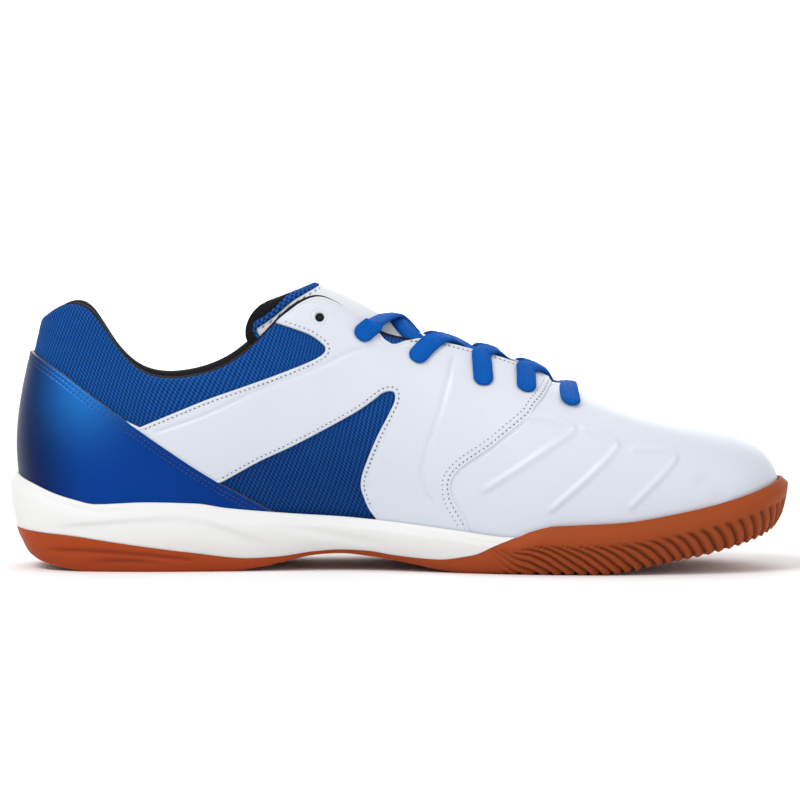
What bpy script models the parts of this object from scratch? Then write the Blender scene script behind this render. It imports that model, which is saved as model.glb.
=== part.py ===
# Indoor soccer shoe for the left foot, standing on its sole.
# Metres, +Z up, toe towards +X, inner side of the foot towards -Y.
# The origin is on the floor, under the middle of the shoe's box.

import bmesh
import bpy
import numpy as np

# Driving sizes
LENGTH = 0.294
BALL_WIDTH = 0.100
HEEL_WIDTH = 0.067
INSTEP_HEIGHT = 0.105
HEEL_HEIGHT = 0.102
SOLE_DEPTH = 0.025
WALL = 0.0024
COLLAR_PAD = 0.0085
OVERLAY = 0.0009
GAP = 0.0003
RIM_THICKNESS = 0.0012
RIM_OUTSET = 0.0019
RIB_DEPTH = 0.0008
RIB_PITCH = 0.0045
TREAD_DEPTH = 0.0012
TREAD_WIDTH = 0.0022
TONGUE_THICKNESS = 0.0045
INSOLE_THICKNESS = 0.0035
LACE_WIDTH = 0.0075
LACE_THICKNESS = 0.0023

# The plan of the overlay's outer face, the shell's outer face and the sole's tray, inside the outline
TRAY_INSET = RIM_OUTSET + RIM_THICKNESS
SHELL_INSET = TRAY_INSET + OVERLAY + 2 * GAP
TUCK_DEPTH = 0.12 * SOLE_DEPTH

# One row for each section, from the heel's back to the tip of the toe.
# foot_x and top_x are shares of the length; inner and outer, the half widths of the outline, are shares
# of the width there; top_y, bulge and reach are shares of the ball width; top_z, lift and drop are
# shares of the collar's height there; pad is a share of the collar's padding.
SECTION_COLUMNS = (
    "foot_x", "inner", "outer", "top_x", "top_y", "top_z", "bulge", "lift", "reach", "drop", "pad",
)
SECTIONS = (
    (0.000, 0.000, 0.000, 0.041, 0.000, 0.950, 0.030, 0.215, 0.050, 0.220, 0.85),
    (0.030, 0.320, 0.325, 0.053, 0.130, 0.972, 0.030, 0.210, 0.050, 0.220, 0.90),
    (0.100, 0.465, 0.475, 0.092, 0.215, 0.990, 0.030, 0.190, 0.050, 0.235, 1.00),
    (0.145, 0.485, 0.500, 0.136, 0.255, 0.855, 0.030, 0.175, 0.045, 0.195, 1.00),
    (0.190, 0.488, 0.510, 0.177, 0.275, 0.742, 0.030, 0.165, 0.040, 0.165, 1.00),
    (0.245, 0.465, 0.510, 0.238, 0.288, 0.718, 0.035, 0.155, 0.035, 0.155, 1.00),
    (0.300, 0.415, 0.500, 0.299, 0.275, 0.789, 0.040, 0.170, 0.045, 0.170, 0.85),
    (0.360, 0.355, 0.475, 0.354, 0.240, 0.939, 0.050, 0.210, 0.070, 0.210, 0.55),
    (0.400, 0.322, 0.458, 0.381, 0.222, 0.984, 0.060, 0.235, 0.100, 0.225, 0.35),
    (0.440, 0.308, 0.450, 0.408, 0.205, 0.990, 0.055, 0.250, 0.125, 0.225, 0.29),
    (0.475, 0.310, 0.452, 0.442, 0.195, 0.932, 0.050, 0.250, 0.150, 0.205, 0.28),
    (0.510, 0.328, 0.465, 0.474, 0.185, 0.868, 0.045, 0.245, 0.175, 0.170, 0.28),
    (0.545, 0.350, 0.482, 0.503, 0.170, 0.834, 0.040, 0.235, 0.180, 0.145, 0.28),
    (0.590, 0.388, 0.502, 0.544, 0.150, 0.817, 0.030, 0.225, 0.200, 0.120, 0.28),
    (0.635, 0.425, 0.510, 0.585, 0.133, 0.789, 0.025, 0.215, 0.220, 0.110, 0.28),
    (0.680, 0.455, 0.508, 0.622, 0.122, 0.760, 0.020, 0.210, 0.235, 0.105, 0.28),
    (0.730, 0.470, 0.495, 0.657, 0.112, 0.725, 0.015, 0.205, 0.260, 0.105, 0.28),
    (0.815, 0.462, 0.446, 0.694, 0.098, 0.676, 0.005, 0.195, 0.310, 0.120, 0.28),
    (0.900, 0.400, 0.352, 0.718, 0.074, 0.636, -0.010, 0.185, 0.370, 0.140, 0.28),
    (0.962, 0.298, 0.236, 0.730, 0.040, 0.604, -0.025, 0.180, 0.420, 0.158, 0.28),
    (1.000, 0.030, -0.030, 0.735, 0.000, 0.594, -0.034, 0.177, 0.440, 0.166, 0.28),
)

# The sole's side view: place along the length, and heights as shares of the sole's depth
GROUND = (
    (0.000, 0.62), (0.008, 0.53), (0.015, 0.40), (0.028, 0.23), (0.047, 0.12), (0.078, 0.04),
    (0.108, 0.00), (0.277, 0.00), (0.323, 0.06), (0.361, 0.16), (0.395, 0.24), (0.425, 0.26),
    (0.468, 0.21), (0.510, 0.13), (0.551, 0.04), (0.588, 0.00), (0.758, 0.00), (0.823, 0.13),
    (0.859, 0.21), (0.886, 0.27), (0.918, 0.36), (0.945, 0.45), (0.968, 0.55), (0.990, 0.72),
    (1.000, 0.95),
)
EDGE = (
    (0.000, 1.47), (0.012, 1.38), (0.033, 1.28), (0.061, 1.15), (0.088, 1.06), (0.114, 1.00),
    (0.179, 1.03), (0.242, 1.01), (0.281, 0.94), (0.367, 0.85), (0.432, 0.80), (0.518, 0.70),
    (0.576, 0.62), (0.643, 0.54), (0.666, 0.64), (0.690, 0.71), (0.721, 0.73), (0.782, 0.77),
    (0.844, 0.88), (0.905, 1.03), (0.951, 1.18), (0.981, 1.30), (1.000, 1.38),
)
SEAM = (
    (-0.050, 0.63), (0.000, 0.62), (0.042, 0.58), (0.088, 0.53), (0.131, 0.46), (0.179, 0.38),
    (0.238, 0.29), (0.310, 0.20), (0.346, 0.22), (0.390, 0.29), (0.424, 0.32), (0.455, 0.31),
    (0.498, 0.24), (0.550, 0.20), (0.585, 0.26), (0.598, 0.30), (0.619, 0.42), (0.643, 0.54),
    (0.667, 0.72), (0.690, 1.00),
)
FLOOR = (
    (0.000, 0.74), (0.070, 0.68), (0.204, 0.66), (0.340, 0.54), (0.476, 0.43), (0.595, 0.30),
    (0.680, 0.24), (0.760, 0.21), (0.820, 0.28), (0.884, 0.44), (0.952, 0.68), (1.000, 0.86),
)
# The side of the sole from its bottom edge up: share of its height, and inset in metres
SIDE = ((0.00, 0.0045), (0.16, 0.0019), (0.46, 0.0004), (0.74, 0.0000), (1.00, RIM_OUTSET))

# Outlines of the overlays in side view: shares of the length and of the instep height
COUNTER_LINE = (
    (-0.040, 0.930), (0.028, 0.785), (0.074, 0.703), (0.129, 0.590), (0.211, 0.430), (0.271, 0.322),
    (0.345, 0.205), (0.390, 0.130),
)
BAND_TOP = (
    (0.172, 0.517), (0.215, 0.567), (0.258, 0.616), (0.301, 0.658), (0.344, 0.701), (0.384, 0.745),
    (0.402, 0.772), (0.406, 0.793), (0.401, 0.812), (0.388, 0.838), (0.372, 0.856), (0.356, 0.871),
    (0.334, 0.890), (0.318, 0.905),
)
BAND_FOOT = (
    (0.507, 0.060), (0.480, 0.110), (0.471, 0.180), (0.461, 0.222), (0.455, 0.262), (0.451, 0.298),
    (0.452, 0.338), (0.458, 0.390), (0.472, 0.484), (0.486, 0.560), (0.494, 0.612), (0.492, 0.640),
    (0.480, 0.636), (0.467, 0.609), (0.445, 0.567), (0.403, 0.502), (0.363, 0.444), (0.321, 0.390),
    (0.277, 0.322),
)
TOE_SEAM = (
    (0.716, 1.050), (0.716, 0.700), (0.696, 0.665), (0.684, 0.618), (0.673, 0.585), (0.665, 0.553),
    (0.643, 0.502), (0.615, 0.440), (0.593, 0.400), (0.579, 0.371), (0.570, 0.342), (0.567, 0.313),
    (0.569, 0.271), (0.577, 0.226), (0.586, 0.185), (0.600, 0.060),
)

# Eyelets from the ankle to the toe, in side view: shares of the length and of the instep height.
# The first pair stays empty.
EYELETS = (
    (0.399, 0.902), (0.453, 0.840), (0.524, 0.760), (0.606, 0.680), (0.660, 0.651), (0.716, 0.600),
)

# The tongue from its foot to its top: middle, then side edge
TONGUE_COLUMNS = ("mid_x", "mid_z", "side_x", "side_y", "side_z")
TONGUE = (
    (0.750, 0.553, 0.742, 0.100, 0.547),
    (0.725, 0.562, 0.718, 0.110, 0.556),
    (0.650, 0.705, 0.642, 0.180, 0.662),
    (0.590, 0.768, 0.580, 0.212, 0.693),
    (0.540, 0.818, 0.530, 0.225, 0.710),
    (0.490, 0.870, 0.470, 0.215, 0.768),
    (0.445, 0.940, 0.405, 0.195, 0.810),
    (0.410, 0.985, 0.345, 0.175, 0.885),
    (0.388, 1.015, 0.303, 0.170, 0.925),
)

RING_STATIONS = 64
LACE_STATIONS = 11
SHELL_STEPS = (0.0, 0.14, 0.30, 0.46, 0.62, 0.78, 0.90, 1.0)
UP = np.array([0.0, 0.0, 1.0])


def smoothstep(low, high, value):
    share = np.clip((value - low) / (high - low), 0.0, 1.0)
    return share * share * (3.0 - 2.0 * share)


def column(table, names, name):
    return np.array([row[names.index(name)] for row in table])


def side_height(table, x):
    """Height of a side-view line at x, on a curve that never overshoots its points."""
    places, heights = np.array(table).T * [[LENGTH], [SOLE_DEPTH]]
    steps = np.diff(places)
    slopes = np.diff(heights) / steps
    tangents = np.zeros(len(places))
    same_way = slopes[:-1] * slopes[1:] > 0
    harmonic = 2.0 / (1.0 / np.where(same_way, slopes[:-1], 1.0) + 1.0 / np.where(same_way, slopes[1:], 1.0))
    tangents[1:-1] = np.where(same_way, harmonic, 0.0)
    tangents[0] = slopes[0]
    tangents[-1] = slopes[-1]
    index = np.clip(np.searchsorted(places, x) - 1, 0, len(steps) - 1)
    t = np.clip((x - places[index]) / steps[index], 0.0, 1.0)
    rise = (3.0 * t**2 - 2.0 * t**3) * (heights[index + 1] - heights[index])
    lean = (t**3 - 2.0 * t**2 + t) * tangents[index] + (t**3 - t**2) * tangents[index + 1]
    return heights[index] + rise + lean * steps[index]


def closed_spline(knots, values, where, slope=False):
    """Smooth closed curve through the values at the knots; the last knot closes the loop."""
    steps = np.diff(knots)
    count = len(steps)
    rises = (np.roll(values, -1, axis=0) - values) / steps[:, None]
    matrix = np.zeros((count, count))
    for i in range(count):
        matrix[i, i] = 2.0 * (steps[i - 1] + steps[i])
        matrix[i, i - 1] = steps[i - 1]
        matrix[i, (i + 1) % count] = steps[i]
    bends = np.linalg.solve(matrix, 6.0 * (rises - np.roll(rises, 1, axis=0)))
    index = np.clip(np.searchsorted(knots, where, side="right") - 1, 0, count - 1)
    after = (index + 1) % count
    step = steps[index][:, None]
    b = (where - knots[index])[:, None] / step
    a = 1.0 - b
    if slope:
        return rises[index] + step / 6.0 * ((3 * b**2 - 1) * bends[after] - (3 * a**2 - 1) * bends[index])
    bend = (a**3 - a) * bends[index] + (b**3 - b) * bends[after]
    return a * values[index] + b * values[after] + bend * step**2 / 6.0


def section_rings():
    """The sections as one closed ring: the inner side from heel to toe, then back along the outer side."""
    get = {name: column(SECTIONS, SECTION_COLUMNS, name) for name in SECTION_COLUMNS}
    width = HEEL_WIDTH + (BALL_WIDTH - HEEL_WIDTH) * smoothstep(0.2, 0.6, get["foot_x"])
    height = HEEL_HEIGHT + (INSTEP_HEIGHT - HEEL_HEIGHT) * smoothstep(0.15, 0.30, get["top_x"])
    rings = []
    for side, half in ((-1.0, get["inner"]), (1.0, get["outer"])):
        rings.append(
            np.column_stack(
                (
                    get["foot_x"] * LENGTH,
                    side * half * width,
                    get["top_x"] * LENGTH,
                    side * get["top_y"] * BALL_WIDTH,
                    get["top_z"] * height,
                    get["bulge"] * BALL_WIDTH,
                    get["lift"] * height,
                    get["reach"] * BALL_WIDTH,
                    get["drop"] * height,
                    get["pad"] * COLLAR_PAD,
                )
            )
        )
    inner, outer = rings
    return np.vstack((inner, outer[-2:0:-1]))


RINGS = section_rings()
RING_KNOTS = np.concatenate(
    ([0.0], np.cumsum(np.linalg.norm(np.roll(RINGS, -1, axis=0)[:, :2] - RINGS[:, :2], axis=1)))
)
TOE_ROW = len(SECTIONS) - 1


def paired_stations(rows):
    """Places round the ring for section numbers from heel to toe, then the same numbers back to the heel."""
    there = np.interp(rows, np.arange(TOE_ROW + 1), RING_KNOTS[: TOE_ROW + 1])
    back = np.interp(rows, np.arange(TOE_ROW + 1), RING_KNOTS[: TOE_ROW - 1 : -1])
    return np.concatenate((there, back[-2:0:-1]))


def rows_at(lengths):
    """Section numbers at lengths measured along the inner side of the outline."""
    return np.interp(lengths, RING_KNOTS[: TOE_ROW + 1], np.arange(TOE_ROW + 1))


def plan(stations):
    """Outline points, their outward directions, top points, theirs, and the shape values of each station."""
    values = closed_spline(RING_KNOTS, RINGS, stations)
    slopes = closed_spline(RING_KNOTS, RINGS, stations, slope=True)
    foot = np.column_stack((values[:, :2], np.zeros(len(stations))))
    outward = np.column_stack((slopes[:, 1], -slopes[:, 0], np.zeros(len(stations))))
    outward /= np.linalg.norm(outward, axis=1)[:, None]
    top_outward = np.column_stack((slopes[:, 3], -slopes[:, 2], np.zeros(len(stations))))
    top_outward /= np.linalg.norm(top_outward, axis=1)[:, None]
    return foot, outward, values[:, 2:5], top_outward, values[:, 5:]


def upper_loops(stations, steps):
    """Outer face of the shell: two loops inside the sole's tray, then cubic ribs from its edge to the top."""
    foot, outward, top, top_outward, shape = plan(stations)
    bulge, lift, reach, drop = (shape[:, [i]] for i in range(4))
    seat = foot - outward * SHELL_INSET
    rim = side_height(EDGE, seat[:, 0])
    floor = side_height(FLOOR, seat[:, 0]) + GAP
    bottom = seat - outward * GAP + UP * floor[:, None]
    tuck = seat + UP * np.maximum(rim - TUCK_DEPTH, 0.5 * (rim + floor))[:, None]
    seat = seat + UP * rim[:, None]
    low = seat + outward * bulge + UP * lift
    high = top + top_outward * reach - UP * drop
    loops = [bottom, tuck]
    for t in steps:
        s = 1.0 - t
        loops.append(s**3 * seat + 3 * s * s * t * low + 3 * s * t * t * high + t**3 * top)
    return np.array(loops)


def face_normals(loops):
    """Outward unit normals of a grid of loops."""
    along = np.roll(loops, -1, axis=1) - np.roll(loops, 1, axis=1)
    across = np.gradient(loops, axis=0)
    normals = np.cross(along, across)
    return normals / np.linalg.norm(normals, axis=2)[:, :, None]


def mesh_object(name, vertices, faces, collection):
    mesh = bpy.data.meshes.new(name)
    mesh.from_pydata([tuple(v) for v in vertices], [], faces)
    shape = bmesh.new()
    shape.from_mesh(mesh)
    bmesh.ops.triangulate(shape, faces=shape.faces[:])
    bmesh.ops.recalc_face_normals(shape, faces=shape.faces[:])
    shape.to_mesh(mesh)
    shape.free()
    made = bpy.data.objects.new(name, mesh)
    collection.objects.link(made)
    return made


def band_faces(loop_count, count, closed):
    faces = []
    for row in range(loop_count if closed else loop_count - 1):
        above = (row + 1) % loop_count
        for i in range(count):
            after = (i + 1) % count
            faces.append((row * count + i, row * count + after, above * count + after, above * count + i))
    return faces


def strip_cap(first, count):
    """Closes a loop with strips between the places that face each other across it."""
    faces = [(first, first + 1, first + count - 1)]
    for i in range(1, count // 2 - 1):
        faces.append((first + i, first + i + 1, first + count - i - 1, first + count - i))
    faces.append((first + count // 2 - 1, first + count // 2, first + count // 2 + 1))
    return faces


def ring_solid(name, loops, collection):
    """A solid whose section is closed, carried round the shoe."""
    count = loops.shape[1]
    return mesh_object(name, loops.reshape(-1, 3), band_faces(len(loops), count, True), collection)


def capped_solid(name, loops, collection):
    """A solid of loops one above the other, closed at both ends."""
    count = loops.shape[1]
    faces = band_faces(len(loops), count, False)
    faces += strip_cap(0, count) + strip_cap((len(loops) - 1) * count, count)
    return mesh_object(name, loops.reshape(-1, 3), faces, collection)


def shell_solid(name, loops, depth_out, depth_in, crown, collection):
    """The shell between two depths under its outer face, with a raised middle on its top edge."""
    normals = face_normals(loops)
    outer = loops - normals * depth_out
    inner = loops - normals * depth_in
    middle = 0.5 * (outer[-1] + inner[-1]) + UP * (crown * np.linalg.norm(outer[-1] - inner[-1], axis=1))[:, None]
    return ring_solid(name, np.concatenate((outer, middle[None], inner[::-1])), collection)


def prism(name, outline, low_y, high_y, collection):
    """A side-view outline carried across the shoe."""
    shape = bmesh.new()
    corners = [shape.verts.new((x * LENGTH, low_y, z * INSTEP_HEIGHT)) for x, z in outline]
    face = shape.faces.new(corners)
    made = bmesh.ops.extrude_face_region(shape, geom=[face])
    moved = [item for item in made["geom"] if isinstance(item, bmesh.types.BMVert)]
    bmesh.ops.translate(shape, verts=moved, vec=(0.0, high_y - low_y, 0.0))
    bmesh.ops.recalc_face_normals(shape, faces=shape.faces[:])
    mesh = bpy.data.meshes.new(name)
    shape.to_mesh(mesh)
    shape.free()
    cutter = bpy.data.objects.new(name, mesh)
    collection.objects.link(cutter)
    return cutter


def boolean(target, other, operation):
    modifier = target.modifiers.new(operation.title() + " " + other.name, "BOOLEAN")
    modifier.operation = operation
    modifier.object = other
    modifier.solver = "EXACT"


def make_real(target):
    """Applies the modifiers, so that the mesh can be copied or cut again."""
    graph = bpy.context.evaluated_depsgraph_get()
    mesh = bpy.data.meshes.new_from_object(target.evaluated_get(graph))
    target.modifiers.clear()
    target.data = mesh


def copy_of(source, name, collection):
    made = source.copy()
    made.data = source.data.copy()
    made.name = name
    collection.objects.link(made)
    return made


def finish(target, name, red, green, blue, roughness, metallic=0.0):
    """Gives a piece its material, from its colour on a screen."""
    screen = np.array([red, green, blue]) / 255.0
    linear = np.where(screen <= 0.04045, screen / 12.92, ((screen + 0.055) / 1.055) ** 2.4)
    material = bpy.data.materials.new(name)
    material.use_nodes = True
    shader = material.node_tree.nodes["Principled BSDF"]
    shader.inputs["Base Color"].default_value = (*linear, 1.0)
    shader.inputs["Roughness"].default_value = roughness
    shader.inputs["Metallic"].default_value = metallic
    target.data.materials.clear()
    target.data.materials.append(material)


def new_collection(name):
    made = bpy.data.collections.new(name)
    bpy.context.scene.collection.children.link(made)
    return made


def hide(collection):
    for item in collection.objects:
        item.hide_render = True
        item.display_type = "WIRE"


def sole_stations():
    """Wide spacing along the heel and waist, and two places for each rib of the forefoot."""
    toe = RING_KNOTS[TOE_ROW]
    ribs_start = 0.64 * toe
    rear = np.linspace(0.0, ribs_start, 22, endpoint=False)
    rib_count = max(4, round((toe - ribs_start) / RIB_PITCH))
    front = np.linspace(ribs_start, toe, 2 * rib_count + 1)
    rows = rows_at(np.concatenate((rear, front)))
    ridges = np.concatenate((np.zeros(len(rear)), np.arange(len(front)) % 2))
    return paired_stations(rows), np.concatenate((ridges, ridges[-2:0:-1]))


def make_sole(parts, cutters):
    """One body for the whole sole with its tray, cut along the seam into the gum and the foam."""
    stations, grooves = sole_stations()
    foot, outward, *_ = plan(stations)
    loops = []
    for share, inset in SIDE:
        ribbed = np.where((share < 0.9) & (share > 0.0), RIB_DEPTH, 0.35 * RIB_DEPTH * (share < 0.9))
        place = foot - outward * (inset + ribbed * grooves)[:, None]
        ground = side_height(GROUND, place[:, 0])
        edge = side_height(EDGE, place[:, 0])
        loops.append(place + UP * (ground + share * (edge - ground))[:, None])
    tray = foot - outward * TRAY_INSET
    loops.append(tray + UP * side_height(EDGE, tray[:, 0])[:, None])
    tray = foot - outward * (TRAY_INSET + GAP)
    loops.append(tray + UP * side_height(FLOOR, tray[:, 0])[:, None])
    sole = capped_solid("outsole", np.array(loops), parts)

    seam = np.array(SEAM) * [1.0, SOLE_DEPTH / INSTEP_HEIGHT]
    clearance = GAP / INSTEP_HEIGHT
    deep = 2.0 * BALL_WIDTH
    below = [(-0.05, -0.5), *map(tuple, seam), (0.72, 1.4), (1.2, 1.4), (1.2, -0.5)]
    above = [(x, z + clearance) for x, z in seam]
    above = [(-0.05, 1.4), *above, (0.69, 1.4)]
    foam = copy_of(sole, "midsole", parts)
    boolean(sole, prism("gum_part", below, -deep, deep, cutters), "INTERSECT")
    boolean(foam, prism("foam_part", above, -deep, deep, cutters), "INTERSECT")
    make_real(sole)
    make_real(foam)
    cut_tread(sole, cutters)
    return sole, foam


def cut_tread(sole, cutters):
    """Straight grooves across the flat of the heel and of the forefoot, which leave the main lugs."""
    for start, end, count in ((0.135, 0.255, 4), (0.615, 0.735, 5)):
        for i, share in enumerate(np.linspace(start, end, count)):
            bpy.ops.mesh.primitive_cube_add(size=1.0, location=(share * LENGTH, 0.0, 0.0))
            groove = bpy.context.object
            groove.name = f"tread_cut_{round(1000 * share)}"
            groove.scale = (TREAD_WIDTH, 2.0 * BALL_WIDTH, 2.0 * TREAD_DEPTH)
            for owner in list(groove.users_collection):
                owner.objects.unlink(groove)
            cutters.objects.link(groove)
            boolean(sole, groove, "DIFFERENCE")


def shell_depths(stations):
    """Depth of the shell's inner face under its outer one: the wall, thickened to the padded collar."""
    pad = plan(stations)[4][:, 4]
    steps = np.array((0.0, 0.0) + SHELL_STEPS)
    share = smoothstep(0.40, 0.85, steps)[:, None]
    return (WALL + np.maximum(pad - WALL, 0.0)[None, :] * share)[:, :, None]


def make_upper(parts, cutters):
    stations = paired_stations(rows_at(np.linspace(0.0, RING_KNOTS[TOE_ROW], RING_STATIONS // 2 + 1)))
    loops = upper_loops(stations, SHELL_STEPS)
    upper = shell_solid("upper", loops, 0.0, shell_depths(stations), 0.22, parts)
    skin = shell_solid("skin", loops[1:], -(GAP + OVERLAY), -GAP, 0.0, cutters)
    return upper, skin


def make_overlays(skin, parts, cutters):
    """Vamp, quarters and heel counter: the skin over the shell, cut by their outlines in side view."""
    clearance = GAP / LENGTH
    deep = 2.0 * BALL_WIDTH
    counter = [*COUNTER_LINE, (0.390, -0.1), (-0.1, -0.1), (-0.1, 1.1)]
    counter_side = [
        (x + 1.5 * clearance, z + 1.5 * GAP / INSTEP_HEIGHT) for x, z in COUNTER_LINE if 0.15 < x < 0.30
    ]
    quarter = [*BAND_TOP, (0.25, 1.2), (0.72, 1.2), *TOE_SEAM, *BAND_FOOT, *counter_side[::-1]]
    vamp = [(x + 1.5 * clearance, z) for x, z in TOE_SEAM]
    vamp = [(0.718, 1.2), *vamp, (0.604, -0.1), (1.2, -0.1), (1.2, 1.2)]
    made = {}
    for name, outline, low_y, high_y in (
        ("heel_counter", counter, -deep, deep),
        ("quarter_inner", quarter, -deep, 0.0),
        ("quarter_outer", quarter, 0.0, deep),
        ("vamp", vamp, -deep, deep),
    ):
        piece = copy_of(skin, name, parts)
        boolean(piece, prism(name + "_outline", outline, low_y, high_y, cutters), "INTERSECT")
        made[name] = piece
    return made


def make_tongue(parts):
    get = {name: column(TONGUE, TONGUE_COLUMNS, name) for name in TONGUE_COLUMNS}
    middle = np.column_stack((get["mid_x"] * LENGTH, 0 * get["mid_x"], get["mid_z"] * INSTEP_HEIGHT))
    side = np.column_stack(
        (get["side_x"] * LENGTH, get["side_y"] * BALL_WIDTH, get["side_z"] * INSTEP_HEIGHT)
    )
    across = np.linspace(-1.0, 1.0, 9)
    fall = np.abs(across[None, :, None]) ** 2.0
    face = middle[:, None] + (side - middle)[:, None] * fall
    face[:, :, 1] = side[:, None, 1] * across[None]
    normals = np.cross(np.gradient(face, axis=1), np.gradient(face, axis=0))
    normals /= np.linalg.norm(normals, axis=2)[:, :, None]
    normals *= np.sign(normals[:, 4:5, 2:3])
    full = 1.0 - 0.55 * np.abs(across)[None, :, None] ** 3
    back = face - normals * TONGUE_THICKNESS * full
    ring = np.concatenate((face, back[:, ::-1]), axis=1)
    count = ring.shape[1]
    last = (len(ring) - 1) * count
    faces = band_faces(len(ring), count, False)
    for i in range(8):
        for first in (0, last):
            faces.append((first + i, first + i + 1, first + count - i - 2, first + count - i - 1))
    return mesh_object("tongue", ring.reshape(-1, 3), faces, parts)


def make_insole(parts):
    stations = paired_stations(rows_at(np.linspace(0.0, RING_KNOTS[TOE_ROW], 25)))
    foot, outward, *_ = plan(stations)
    edge = foot - outward * (SHELL_INSET + WALL + 4 * GAP)
    base = side_height(FLOOR, edge[:, 0])[:, None] + GAP
    soft = foot - outward * (SHELL_INSET + WALL + 4 * GAP + 0.4 * INSOLE_THICKNESS)
    lifted = side_height(FLOOR, soft[:, 0])[:, None] + GAP
    loops = (
        edge + UP * base,
        edge + UP * (base + 0.6 * INSOLE_THICKNESS),
        soft + UP * (lifted + INSOLE_THICKNESS),
    )
    return capped_solid("insole", np.array(loops), parts)


def surface_samples():
    stations = paired_stations(np.linspace(0.0, TOE_ROW, 241))
    loops = upper_loops(stations, np.linspace(0.0, 1.0, 61))[2:]
    return loops, face_normals(loops)


def on_surface(samples, x, z, side):
    """The shell's point that shows at x and z in side view, and its outward direction."""
    loops, normals = samples
    far = np.where(loops[:, :, 1] * side > 0, 0.0, 1.0)
    miss = np.hypot(loops[:, :, 0] - x, loops[:, :, 2] - z) + far
    row, place = np.unravel_index(np.argmin(miss), miss.shape)
    return loops[row, place], normals[row, place]


def smooth_path(points, count):
    """Points read from a smooth curve through a route's own points."""
    points = np.array(points)
    padded = np.vstack((2 * points[0] - points[1], points, 2 * points[-1] - points[-2]))
    where = np.linspace(0.0, len(points) - 1.0, count)
    index = np.minimum(where.astype(int), len(points) - 2)
    t = (where - index)[:, None]
    a, b, c, d = (padded[index + i] for i in range(4))
    return 0.5 * (2 * b + (c - a) * t + (2 * a - 5 * b + 4 * c - d) * t**2 + (3 * b - a - 3 * c + d) * t**3)


def flat_cord(name, route, collection):
    """A flat oval lace along a route of (place, outward direction), flat side against what it lies on."""
    places = smooth_path([place for place, _ in route], LACE_STATIONS)
    outward = smooth_path([direction for _, direction in route], LACE_STATIONS)
    tangents = np.gradient(places, axis=0)
    across = np.cross(outward, tangents)
    across /= np.linalg.norm(across, axis=1)[:, None]
    thick = np.cross(tangents, across)
    thick /= np.linalg.norm(thick, axis=1)[:, None]
    loops = []
    for place, side, up in zip(places, across, thick):
        angles = np.linspace(0.0, 2.0 * np.pi, 8, endpoint=False)[:, None]
        loops.append(place + np.cos(angles) * side * LACE_WIDTH / 2 + np.sin(angles) * up * LACE_THICKNESS / 2)
    return capped_solid(name, np.array(loops), collection)


def lace_strand(samples, start, end, side):
    """Route from an eyelet on one side, over the throat, to the other edge halfway to the next pair."""
    lift = OVERLAY + 2 * GAP + 0.6 * LACE_THICKNESS
    aim = 0.5 * (start[0] + end[0])
    edge_share = 0.85 * start[0] + 0.15 * aim
    route = []
    for share in (0.0, 0.5, 1.0):
        x = (1.0 - share) * start[0] + share * edge_share
        z = (1.0 - share) * start[1] * INSTEP_HEIGHT + share * throat_height(edge_share)
        place, outward = on_surface(samples, x * LENGTH, z, side)
        route.append((place + outward * lift, outward))
    middle = 0.5 * (start[0] + aim)
    uphill = throat_normal(middle)
    route.append((np.array([middle * LENGTH, 0.0, throat_height(middle)]) + uphill * 2.6 * lift, uphill))
    half = throat_half(aim * LENGTH) - 0.5 * LACE_THICKNESS
    far = np.array([aim * LENGTH, -side * half, throat_height(aim)]) + throat_normal(aim) * 1.4 * lift
    route.append((far, throat_normal(aim) - side * 0.4 * np.array([0.0, 1.0, 0.0])))
    return route


def throat_normal(share):
    """Upward direction square to the throat's edge in side view."""
    step = 0.01
    rise = (throat_height(share + step) - throat_height(share - step)) / (2 * step * LENGTH)
    return np.array([-rise, 0.0, 1.0]) / np.hypot(rise, 1.0)


def throat_height(share):
    ring = RINGS[: TOE_ROW + 1]
    return np.interp(share * LENGTH, ring[:, 2], ring[:, 4])


def throat_half(x):
    ring = RINGS[: TOE_ROW + 1]
    return -np.interp(x, ring[:, 2], ring[:, 3])


def make_laces(samples, parts, cutters):
    """Four crossings of two strands, and a bar over the lowest pair."""
    made = []
    for number in range(1, 5):
        start, end = EYELETS[number], EYELETS[number + 1]
        name = f"lace_crossing_{number}"
        strand = flat_cord(name, lace_strand(samples, start, end, -1.0), parts)
        other = flat_cord(name + "_other", lace_strand(samples, start, end, 1.0), cutters)
        boolean(strand, other, "UNION")
        made.append(strand)
    lift = OVERLAY + 2 * GAP + 0.6 * LACE_THICKNESS
    share, height = EYELETS[5]
    ends = []
    for side in (-1.0, 1.0):
        eyelet, outward = on_surface(samples, share * LENGTH, height * INSTEP_HEIGHT, side)
        ends.append((eyelet + outward * lift, outward))
    crest = 0.5 * (ends[0][0] + ends[1][0])
    crest[2] = throat_height(share) + 2.2 * lift
    shoulders = [(crest + 0.6 * (place - crest) * [1.0, 1.0, 0.25], UP) for place, _ in ends]
    route = [ends[0], shoulders[0], (crest, UP), shoulders[1], ends[1]]
    made.append(flat_cord("lace_bar", route, parts))
    return made


def shift_to_origin(collections):
    """Moves everything so that the origin is under the middle of the sole's outline."""
    foot = plan(paired_stations(np.linspace(0.0, TOE_ROW, 401)))[0]
    middle = 0.5 * (foot.min(axis=0) + foot.max(axis=0))
    for collection in collections:
        for item in collection.objects:
            item.location.x -= middle[0]
            item.location.y -= middle[1]


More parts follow.
